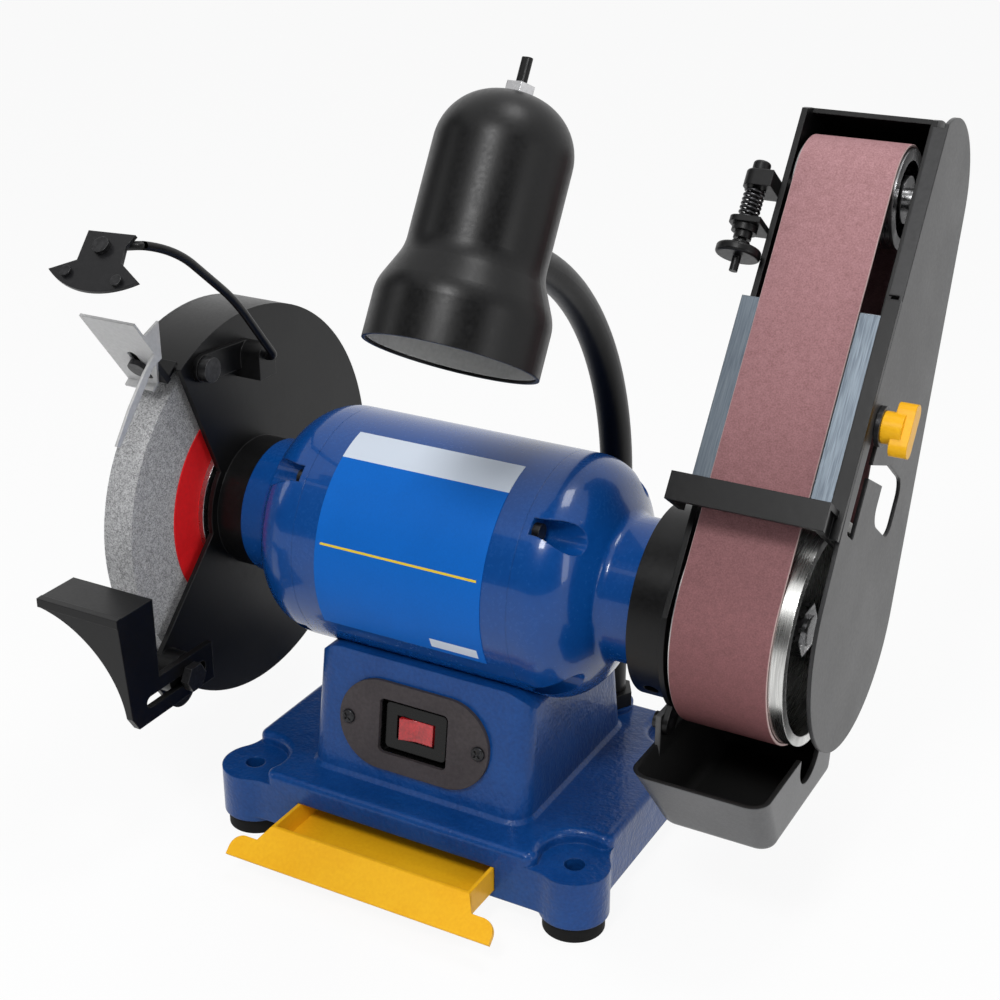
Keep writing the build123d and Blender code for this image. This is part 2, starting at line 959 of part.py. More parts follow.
arrestor_place = Pos(0, shaft_y, axis_height) * Rot(arrestor_angle - 90, 0, 0)


def arrestor_solid(x0, x1, y0, y1, z0, z1):
    """Box placed on the arrestor's own upright: z outwards from the shaft, y towards the back."""
    return arrestor_place * block(x0, x1, y0, y1, z0, z1)


def arrestor_round(radius, y0, y1):
    """Round piece through the arrestor plate at its screw."""
    stem = extrude(Plane.XZ * Circle(radius), amount=y1 - y0)
    return arrestor_place * Pos(arrestor_middle, y1, arrestor_screw_at) * stem


arrestor_face = arrestor_plate + touch_gap


def wheel_guard():
    plate = Circle(guard_radius) - front_opening()
    rest_tab = (-rest_bolt_y + rest_tab_back, rest_bolt_z - rest_tab_drop)
    plate += hull((-rest_bolt_y, rest_bolt_z), rest_lug_radius, rest_tab, rest_lug_radius)
    plate += hull(rest_tab, rest_lug_radius, (rest_tab[0] / 2, rest_tab[1] / 2), rest_lug_radius)
    plate -= Circle(bearing_bore_radius + shaft_hole_gap)
    plate -= Pos(-rest_bolt_y, rest_bolt_z) * Circle(rest_bolt_radius)
    plate -= Pos(*strap_place) * Circle(shield_strap_bolt)
    for y, z in guard_bolt_places:
        plate -= Pos(y, z) * Circle(guard_bolt_radius)
    guard = across(plate, plate_left, plate_right)
    for y, z in guard_bolt_places:
        guard -= disc(plate_left, plate_left + guard_bolt_sink, guard_bolt_head, 0, y, z)
    hub = Circle(guard_hub_radius) - Circle(bearing_bore_radius + shaft_hole_gap)
    for y, z in guard_bolt_places:
        hub -= Pos(y, z) * Circle(guard_bolt_radius)
    guard += across(hub, plate_right, left_neck_end)
    boss_end = plate_right + rest_boss_length
    guard += disc(plate_right, boss_end, rest_lug_radius, rest_bolt_radius, -rest_bolt_y, rest_bolt_z)
    rim = Circle(guard_radius) - Circle(guard_radius - guard_band)
    rim -= sector(band_start, band_end, 2 * guard_radius)
    guard += across(rim, band_left, plate_right)
    for angle in cover_screw_angles:
        y, z = polar(cover_screw_circle, angle)
        guard += disc(band_left, plate_left, cover_boss_radius, cover_screw_radius, y, z)
    half = arrestor_lug_width / 2
    guard += arrestor_solid(
        arrestor_middle - half, arrestor_middle + half,
        arrestor_face, arrestor_face + arrestor_lug_thickness,
        guard_radius - guard_band, arrestor_lug_top,
    )
    band_reach = 2 * guard_radius * sin(radians(arrestor_angle - band_start) / 2) + arrestor_lug_thickness
    guard += arrestor_solid(
        arrestor_middle - half, arrestor_middle + half, arrestor_face, band_reach,
        guard_radius - 2 * guard_band / 3, guard_radius,
    )
    return guard - arrestor_round(arrestor_screw_radius, 0, 2 * arrestor_lug_thickness)


def guard_cover_plate():
    sheet = Circle(guard_radius) - front_opening()
    for angle in cover_screw_angles:
        sheet -= Pos(*polar(cover_screw_circle, angle)) * Circle(cover_screw_radius)
    cover = across(sheet, guard_left, band_left)
    cover += disc(guard_left - cap_rise, guard_left, cap_radius)
    return cover - disc(guard_left - cap_rise + guard_cover, band_left, cap_radius - guard_cover)


def guard_cover_screws():
    screws = []
    for angle in cover_screw_angles:
        y, z = polar(cover_screw_circle, angle)
        screw = disc(guard_left, band_left + guard_hub_length, cover_screw_radius, 0, y, z)
        screw += disc(guard_left - cover_screw_head_height, guard_left, cover_screw_head, 0, y, z)
        screws.append(screw)
    return screws


def strap_bolt():
    y, z = strap_place
    head = plate_right + shield_strap
    bolt = disc(plate_left, head, shield_strap_bolt, 0, y, z)
    return bolt + disc(head, head + shield_strap_head_height, shield_strap_head, 0, y, z)


def guard_bolts():
    bolts = []
    for y, z in guard_bolt_places:
        bolt = disc(plate_left, left_neck_end, guard_bolt_radius, 0, y, z)
        bolts.append(bolt + disc(plate_left, plate_left + guard_bolt_sink, guard_bolt_head, 0, y, z))
    return bolts


def spark_arrestor():
    foot_end = arrestor_middle + arrestor_plate
    sheet = outline(
        (arrestor_left, arrestor_low), (foot_end, arrestor_low),
        (arrestor_right, guard_radius + arrestor_cut),
        (arrestor_right, arrestor_top), (arrestor_left, arrestor_top),
    )
    slot = SlotOverall(arrestor_slot_length, arrestor_slot)
    sheet -= Pos(arrestor_middle, arrestor_screw_at) * Rot(0, 0, 90) * slot
    plate = arrestor_place * Pos(0, arrestor_plate, 0) * extrude(Plane.XZ * sheet, amount=arrestor_plate)
    leg_top = arrestor_low + arrestor_plate
    plate += arrestor_solid(arrestor_left, foot_end, -arrestor_leg, arrestor_plate, arrestor_low, leg_top)
    ear = outline(*[(y, guard_radius + rise) for y, rise in arrestor_ear])
    ear_left = arrestor_right - arrestor_plate
    return plate + arrestor_place * Pos(ear_left, 0, 0) * extrude(Plane.YZ * ear, amount=arrestor_plate)


def arrestor_screw():
    screw = arrestor_round(arrestor_screw_radius, -touch_gap, arrestor_face + arrestor_lug_thickness)
    return screw + arrestor_round(arrestor_screw_head, -touch_gap - arrestor_screw_head_height, -touch_gap)


# Tool rest

rest_arm_left = plate_right + rest_boss_length + touch_gap
rest_arm_right = rest_arm_left + rest_arm_thickness
rest_left = wheel_left - rest_overhang
rest_back = -wheel_radius - rest_wheel_gap
rest_front = rest_back - rest_depth
rest_low = -rest_top_drop - rest_drop
rest_knee = rest_low + rest_arm_height


def tool_rest():
    top = block(
        rest_left, rest_arm_right, rest_front, rest_back, -rest_top_drop - rest_plate, -rest_top_drop,
    )
    corner = (rest_left, -rest_plate)
    foot = (rest_arm_left, rest_toe - rest_drop)
    middle = (
        corner[0] + (0.5 + rest_curve) * (foot[0] - corner[0]),
        corner[1] + (0.5 - rest_curve) * (foot[1] - corner[1]),
    )
    edge = Polyline(corner, (rest_left, 0), (rest_arm_right, 0), (rest_arm_right, foot[1]), foot)
    curve = ThreePointArc(foot, middle, corner)
    slope = degrees(atan2(rest_slant, rest_drop - rest_toe))
    apron = extrude(Plane.XZ * make_face([edge, curve]), amount=-rest_apron)
    apron = Pos(0, rest_front, -rest_top_drop) * Rot(slope, 0, 0) * apron
    web = outline(
        (rest_front, -rest_top_drop), (rest_back, -rest_top_drop), (rest_back, rest_knee),
        (-rest_arm_back, rest_knee), (-rest_arm_back, rest_low), (rest_front + 2 * rest_slant, rest_low),
        (rest_front + rest_slant, rest_low + rest_toe),
    )
    slot_length = rest_slot_front - rest_slot_back + rest_slot_width
    slot_middle = -(rest_slot_front + rest_slot_back) / 2
    web -= Pos(slot_middle, rest_bolt_z) * SlotOverall(slot_length, rest_slot_width)
    arm = Pos(rest_arm_left, 0, 0) * extrude(Plane.YZ * web, amount=rest_arm_thickness)
    return Pos(0, shaft_y, axis_height) * (top + apron + arm)


def tool_rest_bolt():
    head = rest_arm_right + touch_gap
    bolt = disc(plate_left, head, rest_bolt_radius, 0, -rest_bolt_y, rest_bolt_z)
    head_end = head + rest_bolt_head_height
    return bolt + hex_nut(head, head_end, 2 * rest_bolt_head, 0, -rest_bolt_y, rest_bolt_z)


# Eye-shield holder

clamp_right = plate_right + shield_clamp_width
rod_start = plate_right + touch_gap
rod_bend = clamp_right + shield_rod_reach
shield_end_x = rod_bend - shield_end_inset
shield_tilt = radians(shield_plate_tilt)
shield_plane = Plane(
    origin=(shield_end_x, shaft_y + shield_end_y, axis_height + shield_end_rise),
    x_dir=(1, 0, 0),
    z_dir=(0, -cos(shield_tilt), sin(shield_tilt)),
)


def shield_clamp():
    y, z = shield_place
    half = shield_clamp_depth / 2
    low = z - shield_clamp_height + half
    body = outline((y - half, low), (y + half, low), (y + half, z), (y - half, z))
    body += Pos(y, z) * Circle(half)
    strap = hull(strap_place, shield_strap_radius, (y, z), half)
    strap -= Pos(*strap_place) * Circle(shield_strap_bolt)
    clamp = across(body, plate_right, clamp_right) + across(strap, plate_right, plate_right + shield_strap)
    return clamp - disc(plate_right, clamp_right, shield_rod_radius + running_gap, 0, y, z)


def shield_rod():
    y, z = shaft_y + shield_y, axis_height + shield_rise
    bow = (rod_bend, shaft_y + shield_bow_y, axis_height + shield_bow_rise)
    knee = (rod_bend, shaft_y + shield_knee_y, axis_height + shield_knee_rise)
    behind = shield_plane.offset(-shield_rod_radius)
    near = behind.from_local_coords((0, 0, 0))
    tip = behind.from_local_coords((shield_big_bolt[0], shield_big_bolt[1] / 2, 0))
    points = [(rod_start, y, z), (rod_bend, y, z), bow, knee, near, tip]
    tight = 2 * shield_rod_radius
    path = FilletPolyline(*points, radius=[tight, shield_bow_radius, shield_knee_radius, tight])
    return sweep(Plane.YZ.offset(rod_start) * Pos(y, z) * Circle(shield_rod_radius), path=path)


def shield_bracket():
    top = Polyline(*shield_outline)
    under = ThreePointArc(shield_outline[-1], shield_belly, shield_outline[0])
    sheet = make_face([top, under])
    return extrude(shield_plane * sheet, amount=shield_plate)


def shield_bolts():
    face = shield_plane.offset(shield_plate)
    heads = [extrude(face * Pos(*shield_big_bolt) * Circle(shield_bolt_radius), amount=shield_bolt_height)]
    heads += [extrude(face * Pos(*place) * Circle(shield_rivet_radius), amount=shield_rivet_height)
              for place in shield_rivets]
    return group(*heads)


# Sander arm

flange_outline = hull((0, 0), flange_drive_radius, idler_point, flange_head_radius)


def behind(sketch, front):
    """Part of an arm outline that lies behind a line along the front of the arm."""
    tall = idler_rise + 2 * flange_head_radius
    return sketch & outline((-front, -tall), (tall, -tall), (tall, tall), (-front, tall))


def arm_collar():
    collar = disc(collar_left, flange_left, collar_radius, spigot_radius + running_gap)
    for angle in collar_screw_angles:
        collar -= collar_screw(angle, collar_radius, spigot_radius)
    return collar


def collar_screw(angle, outer, inner):
    """Radial round stub in the collar."""
    middle = (collar_left + flange_left) / 2
    stub = Pos(middle, 0, inner) * extrude(Circle(collar_screw_radius), outer - inner)
    return Pos(0, shaft_y, axis_height) * Rot(angle - 90, 0, 0) * stub


def collar_screws():
    outer = collar_radius - collar_screw_radius
    inner = outer - collar_screw_length
    return [collar_screw(angle, outer, inner) for angle in collar_screw_angles]


scoop_lugs = [(-scoop_lug_y, -scoop_lug_drop), (scoop_lug_y, -scoop_lug_drop)]


def arm_frame():
    sheet = behind(flange_outline, frame_front) - Circle(flange_shaft_hole)
    frame = arm_plate(sheet, flange_left, flange_right)
    for y, z in scoop_lugs:
        lug = hull((y, z), scoop_lug_radius, (y / 2, z / 2), scoop_lug_radius)
        lug -= Pos(y, z) * Circle(scoop_bolt_radius)
        frame += across(lug, flange_left, flange_right)
    inner = hull((0, 0), flange_drive_radius - head_band, idler_point, flange_head_radius - head_band)
    tall = idler_rise + 2 * flange_head_radius
    front = -idler_n - head_band_front
    head = outline((front, head_band_start), (tall, head_band_start), (tall, tall), (front, tall))
    frame += arm_plate((flange_outline - inner) & head, flange_left, bar_right)
    bar = outline(
        (-frame_front, right_bar_start), (-right_bar_back, right_bar_start),
        (-right_bar_back, tall), (-frame_front, tall),
    )
    frame += arm_plate(bar & flange_outline, bar_left, bar_right)
    frame -= arm_disc(flange_left, flange_right, idler_axle_radius, idler_n, idler_rise)
    return frame - arm_disc(bar_left, bar_right, idler_axle_radius, idler_n, idler_rise)


def platen():
    left = flange_left - platen_overhang
    right = bar_right - platen_right_inset
    return arm_block(left, right, frame_front, platen_front, platen_start, platen_end)


def abrasive_belt():
    outer = hull((0, 0), belt_front, idler_point, belt_inner_idler + belt_thickness)
    inner = hull((0, 0), belt_inner_drive, idler_point, belt_inner_idler)
    return arm_plate(outer - inner, belt_left, belt_right)


def idler_axle():
    return arm_disc(flange_left, cover_left, idler_axle_radius, idler_n, idler_rise)


def idler_pulley():
    left = (belt_left + belt_right - idler_width) / 2
    bore = idler_axle_radius + running_gap
    pulley = arm_disc(left, left + idler_width, idler_radius, idler_n, idler_rise, bore)
    groove_end = left + idler_width / 4
    hub = 2 * idler_axle_radius
    groove = arm_disc(left, groove_end, idler_radius - idler_rim, idler_n, idler_rise, hub)
    return pulley - groove - arm_place * Pos(idler_width * 3 / 4, 0, 0) * arm_place.inverse() * groove


def side_cover():
    lobe = (cover_lobe_back, cover_lobe_rise)
    sheet = behind(hull(lobe, cover_drive_radius, idler_point, cover_head_radius), cover_front)
    slot_middle = (cover_slot_end + cover_slot_start) / 2
    slot = RectangleRounded(cover_slot_width, cover_slot_end - cover_slot_start, cover_slot_round)
    sheet -= Pos(-cover_slot_n, slot_middle) * slot
    window = outline(
        (-window_front, window_front_low), (-window_front, window_front_top), (-window_bend, window_top),
        (-window_back, window_top), (-window_back, window_low), (-window_leg, window_low),
        (-window_leg, window_leg_top),
    )
    rear = [v for v in window.vertices() if v.X > -window_front / 2]
    window = fillet([v for v in rear if abs(v.Y - window_leg_top) > window_tight], window_round)
    sheet -= fillet(window.vertices().sort_by(Axis.X)[:2], window_tight)
    cover = arm_plate(sheet, cover_left, cover_right)
    head_run = sqrt(cover_head_radius ** 2 - (cover_front - idler_n) ** 2)
    fold_end = idler_rise + head_run - cover_plate
    return cover + arm_block(
        bar_right + strip_gap, cover_left, cover_front - cover_plate, cover_front,
        cover_fold_start, fold_end,
    )


def cover_spacers():
    rises = (spacer_low, spacer_high)
    return group(*[arm_disc(bar_right, cover_left, spacer_radius, spacer_n, rise) for rise in rises])


# Work rest on the sander

ledge_back = belt_front + ledge_gap
ledge_front = ledge_back + ledge_depth
ledge_low = ledge_top - ledge_height


def work_rest():
    rest = arm_block(ledge_left, ledge_right, ledge_back, ledge_front, ledge_top - ledge_plate, ledge_top)
    rest += arm_block(ledge_left, ledge_right, ledge_front - ledge_plate, ledge_front, ledge_low, ledge_top)
    rest += arm_block(ledge_left, ledge_left + ledge_plate, ledge_back, ledge_front, ledge_low, ledge_top)
    rest += arm_block(strip_left, strip_right, strip_back, ledge_front, ledge_low, ledge_top)
    strip_face = cover_front + touch_gap + strip_plate
    rest += arm_block(strip_left, strip_right, strip_back, strip_face, ledge_low, strip_top)
    rest += arm_block(strip_left, cover_right, strip_face - strip_plate, strip_face, ledge_low, strip_top)
    return rest - arm_disc(strip_left, strip_right, knob_stud_radius + running_gap, cover_slot_n, knob_rise)


washer_left = cover_right + touch_gap
knob_left = washer_left + knob_washer


def lock_washer():
    bore = knob_stud_radius + running_gap
    return arm_disc(washer_left, knob_left, knob_washer_radius, cover_slot_n, knob_rise, bore)


def lock_knob():
    wing_left = knob_left + knob_hub_length
    knob = arm_disc(strip_left, knob_left, knob_stud_radius, cover_slot_n, knob_rise)
    knob += arm_disc(knob_left, wing_left, knob_hub_radius, cover_slot_n, knob_rise)
    wing = SlotOverall(knob_wing_span, knob_wing_height)
    knob += arm_plate(Pos(-cover_slot_n, knob_rise) * Rot(0, 0, 90) * wing, wing_left - knob_hub_length / 2,
                      wing_left + knob_wing_length - knob_hub_length / 2)
    return knob


# Belt tracking

tracking_x = flange_left - tracking_reach
tracking_low = tracking_block_top - tracking_block_height
tracking_back = frame_front - tracking_grip
tracking_ahead = tracking_n + tracking_block_width / 2


def arm_post(radius, s0, s1, bore=0):
    """Round piece along the arm on the tracking screw's line."""
    ring = Circle(radius) - Circle(bore) if bore else Circle(radius)
    return arm_place * Pos(tracking_x, -tracking_n, s0) * extrude(ring, s1 - s0)


def tracking_bracket():
    left = tracking_x - tracking_block_width / 2
    body = block(left, flange_left, -tracking_ahead, -tracking_back, tracking_low, tracking_block_top)
    body = fillet(body.edges().filter_by(Axis.Z).sort_by(Axis.X)[:2], tracking_block_round)
    body = fillet(body.edges().group_by(Axis.Z)[-1], tracking_rim_round)
    bracket = arm_place * body
    return bracket - arm_post(tracking_screw_radius + screw_gap, tracking_low, tracking_block_top)


def tracking_lever():
    half = tracking_lever_width / 2
    low = tracking_lever_top - tracking_lever_plate
    left = tracking_x - half
    body = block(left, flange_left, -tracking_n - half, -tracking_back, low, tracking_lever_top)
    lever = arm_place * fillet(body.edges().filter_by(Axis.Z).sort_by(Axis.X)[:2], tracking_block_round)
    lever += arm_post(tracking_boss_radius, low - tracking_boss / 2, low)
    lever += arm_post(tracking_waist_radius, low - tracking_boss, low)
    return lever - arm_post(tracking_screw_radius + screw_gap, low - tracking_boss, tracking_lever_top)


def tracking_knob_screw():
    knob = arm_post(tracking_screw_radius, tracking_screw_end, tracking_block_top + touch_gap)
    wheel = extrude(Circle(tracking_knob_radius), tracking_knob)
    wheel = fillet(wheel.edges(), tracking_rim_round)
    hub_low = tracking_knob_top - tracking_knob
    knob += arm_place * Pos(tracking_x, -tracking_n, hub_low) * wheel
    knob += arm_post(tracking_waist_radius, hub_low, tracking_knob_top + tracking_hub)
    cap = extrude(Circle(tracking_head_radius), tracking_head)
    cap = fillet(cap.edges().group_by(Axis.Z)[-1], tracking_rim_round)
    return knob + arm_place * Pos(tracking_x, -tracking_n, tracking_block_top + touch_gap) * cap


def helix_point(turn, low, pitch):
    """Point and direction of the spring's centre line after some turns."""
    angle = 2 * pi * turn
    point = Vector(spring_radius * cos(angle), spring_radius * sin(angle), low + pitch * turn)
    run = pitch / (2 * pi)
    return point, Vector(-spring_radius * sin(angle), spring_radius * cos(angle), run).normalized()


def biarc(start, start_way, end, end_way):
    """Two arcs that join two points and keep both directions."""
    span = end - start
    ways = start_way + end_way
    a = ways.dot(ways) - 4
    b = -2 * span.dot(ways)
    c = span.dot(span)
    reach = (-b - sqrt(b * b - 4 * a * c)) / (2 * a)
    first = start + start_way * reach
    second = end - end_way * reach
    middle = (first + second) / 2
    return [
        Edge.make_tangent_arc(start, start_way, middle),
        Edge.make_tangent_arc(middle, second - first, end),
    ]


def tracking_spring():
    low = tracking_lever_top + spring_wire_radius + running_gap
    high = tracking_low - spring_wire_radius - running_gap
    pitch = (high - low) / spring_turns
    quarters = [helix_point(i / 4, low, pitch) for i in range(4 * spring_turns + 1)]
    edges = []
    for (start, start_way), (end, end_way) in zip(quarters, quarters[1:]):
        edges += biarc(start, start_way, end, end_way)
    path = Wire(edges)
    coil = sweep(Plane(origin=quarters[0][0], z_dir=quarters[0][1]) * Circle(spring_wire_radius), path=path)
    samples = [helix_point(i / 24, low, pitch)[0] for i in range(24 * spring_turns + 1)]
    pairs = [(a, b) for i, a in enumerate(samples) for b in samples[i + 12:]]
    nearest = min((a - b).length for a, b in pairs)
    print("least gap between the spring's turns", round(nearest - 2 * spring_wire_radius, 2))
    return arm_place * Pos(tracking_x, -tracking_n, 0) * coil


# Dust scoop

scoop_left = flange_left - scoop_left_overhang
scoop_right = drive_right + scoop_right_overhang
scoop_rim = axis_height - scoop_rim_drop
scoop_bottom = scoop_rim - scoop_height


def scoop_slice(z, taper, inset):
    """Level outline of the scoop; taper is 0 at the rim and 1 at the bottom."""
    left = scoop_left + taper * scoop_taper_left + inset
    right = scoop_right - taper * scoop_taper_right - inset
    front = scoop_front + taper * scoop_taper_front + inset
    back = scoop_back - taper * scoop_taper_back - inset
    corner = max(scoop_corner - inset, scoop_corner / 3)
    plan = RectangleRounded(right - left, back - front, corner)
    return Pos((left + right) / 2, (front + back) / 2, z) * plan


def dust_scoop():
    scoop = loft([scoop_slice(scoop_bottom, 1, 0), scoop_slice(scoop_rim, 0, 0)])
    scoop = fillet(scoop.edges().group_by(Axis.Z)[0], scoop_edge)
    floor_taper = 1 - scoop_wall / scoop_height
    floor = scoop_slice(scoop_bottom + scoop_wall, floor_taper, scoop_wall)
    inside = loft([floor, scoop_slice(scoop_rim, 0, scoop_wall)])
    scoop -= fillet(inside.edges().group_by(Axis.Z)[0], scoop_edge - scoop_wall)
    middle = (scoop_left + scoop_right) / 2
    notch_z = scoop_rim - axis_height - scoop_notch_radius / 3
    scoop -= disc(middle, scoop_right, scoop_notch_radius, 0, scoop_notch_y, notch_z)
    scoop -= across(outline(
        (scoop_notch_y - scoop_notch_radius, notch_z), (scoop_notch_y + scoop_notch_radius, notch_z),
        (scoop_notch_y + scoop_notch_radius, 0), (scoop_notch_y - scoop_notch_radius, 0),
    ), middle, scoop_right)
    tab_left = flange_left - scoop_tab
    tab_low = -scoop_rim_drop - 2 * scoop_lug_radius
    for y, z in scoop_lugs:
        half = scoop_tab_width / 2
        tab = block(tab_left, flange_left, y - half, y + half, tab_low, z + scoop_lug_radius)
        near, far = sorted((y, y - scoop_tab_reach * y / scoop_lug_y))
        tab += block(tab_left, flange_left, near, far, tab_low, -scoop_rim_drop)
        scoop += Pos(0, shaft_y, axis_height) * tab
        scoop -= disc(tab_left, flange_left, scoop_bolt_radius, 0, y, z)
    return scoop


def scoop_bolts():
    bolts = []
    outside = flange_left - scoop_tab
    for y, z in scoop_lugs:
        bolt = disc(outside, flange_right, scoop_bolt_radius, 0, y, z)
        bolts.append(bolt + disc(outside - scoop_bolt_head_height, outside, scoop_bolt_head, 0, y, z))
    return bolts


# Lamp

boss_top = base_top + lamp_boss_rise
bend_end_y = lamp_y - neck_bend_radius * (1 - cos(radians(neck_bend)))
bend_end_z = neck_straight + neck_bend_radius * sin(radians(neck_bend))
knuckle_y = bend_end_y - knuckle_reach * sin(radians(neck_bend))
knuckle_z = bend_end_z + knuckle_reach * cos(radians(neck_bend))
grip_reach = shade_radius + shade_grip_gap
shade_hinge = Pos(lamp_x, knuckle_y, knuckle_z) * Rot(-shade_lean, 0, 0)
shade_place = shade_hinge * Pos(0, -grip_reach, -shade_grip_height)


def shade_turned(points, rounds=()):
    """Solid turned about the shade's axis from (radius, height) points, placed on the lamp."""
    face = outline(*points)
    for number, radius in rounds:
        corner = points[number]
        vertex = min(face.vertices(), key=lambda v: hypot(v.X - corner[0], v.Y - corner[1]))
        face = fillet(vertex, radius)
    return shade_place * revolve(Plane.XZ * face, axis=Axis.Z)


def lamp_neck():
    start = (lamp_x, lamp_y, boss_top)
    straight = Line(start, (lamp_x, lamp_y, neck_straight))
    mid = radians(neck_bend / 2)
    bend = ThreePointArc(
        (lamp_x, lamp_y, neck_straight),
        (lamp_x, lamp_y - neck_bend_radius * (1 - cos(mid)), neck_straight + neck_bend_radius * sin(mid)),
        (lamp_x, bend_end_y, bend_end_z),
    )
    tube = sweep(Pos(*start) * Circle(neck_tube_radius), path=Wire([straight, bend]))
    spigot_low = boss_top - neck_spigot_length
    spigot = Pos(lamp_x, lamp_y, spigot_low) * extrude(Circle(neck_spigot_radius), neck_spigot_length)
    half = knuckle_width / 2
    eye = hull((knuckle_y, knuckle_z), knuckle_radius, (bend_end_y, bend_end_z), knuckle_radius)
    eye -= Pos(knuckle_y, knuckle_z) * Circle(lamp_pin_radius + running_gap)
    return tube + spigot + Pos(lamp_x - half, 0, 0) * extrude(Plane.YZ * eye, amount=knuckle_width)


def lamp_neck_nut():
    ring = RegularPolygon(neck_nut_width / sqrt(3), 6) - Circle(neck_tube_radius + running_gap)
    return Pos(lamp_x, lamp_y, boss_top) * extrude(ring, neck_nut_height)


def shade_profile(inset):
    """(radius, height) points of the shade from the axis at the top down to the rim."""
    return [
        (0, shade_height - inset), (shade_radius - inset, shade_height - inset),
        (shade_radius - inset, shade_flare_end), (shade_rim_radius - inset, shade_band),
        (shade_rim_radius - inset, 0), (0, 0),
    ]


def lamp_shade():
    rounds = ((1, shade_dome), (2, shade_blend), (3, shade_blend))
    shade = shade_turned(shade_profile(0), rounds)
    inner_wall = knuckle_width / 2 + touch_gap
    for side in (-1, 1):
        near, far = sorted((side * inner_wall, side * (inner_wall + cheek_plate)))
        root = (shade_radius / 2, shade_grip_height)
        cheek = hull((grip_reach, shade_grip_height), cheek_radius, root, cheek_radius)
        shade += shade_place * Pos(near, 0, 0) * extrude(Plane.YZ * cheek, amount=far - near)
    shade -= shade_turned(shade_profile(shade_wall), ((1, shade_dome - shade_wall),))
    shade -= shade_place * Pos(-knuckle_width, grip_reach, shade_grip_height) * extrude(
        Plane.YZ * Circle(lamp_pin_radius), amount=2 * knuckle_width
    )
    return shade - shade_place * extrude(Circle(key_stem_radius + sliding_gap), 2 * shade_height)


def lamp_hinge_pin():
    reach = knuckle_width / 2 + touch_gap + cheek_plate
    return shade_place * Pos(-reach, grip_reach, shade_grip_height) * extrude(
        Plane.YZ * Circle(lamp_pin_radius), amount=2 * reach
    )


def shade_liner():
    outer = shade_wall + running_gap
    inner = outer + liner_thickness
    profile = []
    for inset in (outer, inner):
        profile.append([
            (shade_radius - inset, liner_end), (shade_radius - inset, shade_flare_end),
            (shade_rim_radius - inset, shade_band), (shade_rim_radius - inset, liner_inset),
        ])
    return shade_turned(profile[0] + profile[1][::-1])


holder_top = shade_height - shade_wall
holder_bottom = holder_top - holder_length


def lamp_holder():
    return shade_turned([
        (0, holder_top), (holder_radius / 4, holder_top), (holder_radius, holder_top - holder_radius / 2),
        (holder_radius, holder_bottom), (0, holder_bottom),
    ])


def lamp_bulb():
    low = holder_bottom - bulb_length
    return shade_turned([
        (0, holder_bottom), (bulb_neck_radius, holder_bottom),
        (bulb_radius, holder_bottom - bulb_length / 2),
        (bulb_radius, low), (0, low),
    ], ((3, 0.9 * bulb_radius), (2, bulb_radius / 3)))


def lamp_switch_nut():
    ring = RegularPolygon(switch_nut_width / sqrt(3), 6) - Circle(key_stem_radius + running_gap)
    return shade_place * Pos(0, 0, shade_height) * extrude(ring, switch_nut_height)


def lamp_switch_key():
    low = shade_height - shade_wall / 2
    paddle_low = shade_height + switch_nut_height + touch_gap
    stem = Pos(0, 0, low) * extrude(Circle(key_stem_radius), paddle_low - low)
    paddle = extrude(SlotOverall(key_paddle_width, key_paddle_thickness), key_paddle_length)
    return shade_place * (stem + Pos(0, 0, paddle_low) * paddle)


nodes = {
    "cast_base": cast_base(),
    "rubber_feet": rubber_feet(),
    "switch_plate": switch_plate(),
    "switch_plate_screws": switch_plate_screws(),
    "switch_housing": switch_housing(),
    "rocker_switch": rocker_switch(),
    "coolant_tray": coolant_tray(),
    "motor_barrel": motor_barrel(),
    "left_end_bell": end_bell(barrel_left, -1),
    "right_end_bell": right_end_bell(),
    "motor_through_bolts": motor_through_bolts(),
    "stator_core": stator_core(),
    "stator_windings": stator_windings(),
    "bearings": bearings(),
    "start_capacitor": start_capacitor(),
    "nameplate": nameplate(),
    "cord_gland": cord_gland(),
    "motor_shaft": motor_shaft(),
    "rotor_core": rotor_core(),
    "wheel_flanges": wheel_flanges(),
    "wheel_blotters": wheel_blotters(),
    "grinding_wheel": grinding_wheel(),
    "drive_wheel": drive_wheel(),
    "spindle_nuts": spindle_nuts(),
    "wheel_guard": wheel_guard(),
    "guard_cover": guard_cover_plate(),
    "guard_screws": group(*guard_cover_screws(), *guard_bolts(), strap_bolt()),
    "spark_arrestor": spark_arrestor(),
    "tool_rest": tool_rest(),
    "adjusting_bolts": group(arrestor_screw(), tool_rest_bolt()),
    "shield_clamp": shield_clamp(),
    "shield_rod": shield_rod(),
    "shield_bracket": shield_bracket(),
    "shield_bolts": shield_bolts(),
    "arm_collar": arm_collar(),
    "arm_frame": arm_frame(),
    "platen": platen(),
    "abrasive_belt": abrasive_belt(),
    "idler_axle": idler_axle(),
    "idler_pulley": idler_pulley(),
    "side_cover": side_cover(),
    "cover_spacers": cover_spacers(),
    "work_rest": work_rest(),
    "lock_washer": lock_washer(),
    "lock_knob": lock_knob(),
    "tracking_bracket": tracking_bracket(),
    "tracking_lever": tracking_lever(),
    "tracking_knob": tracking_knob_screw(),
    "tracking_spring": tracking_spring(),
    "dust_scoop": dust_scoop(),
    "arm_screws": group(*collar_screws(), *scoop_bolts()),
    "lamp_neck": lamp_neck(),
    "lamp_neck_nut": lamp_neck_nut(),
    "lamp_shade": lamp_shade(),
    "lamp_hinge_pin": lamp_hinge_pin(),
    "shade_liner": shade_liner(),
    "lamp_holder": lamp_holder(),
    "lamp_bulb": lamp_bulb(),
    "lamp_switch_nut": lamp_switch_nut(),
    "lamp_switch_key": lamp_switch_key(),
}

os.makedirs("parts", exist_ok=True)
for name, solid in nodes.items():
    export_step(solid, f"parts/{name}.step")
print(len(nodes), "nodes written")
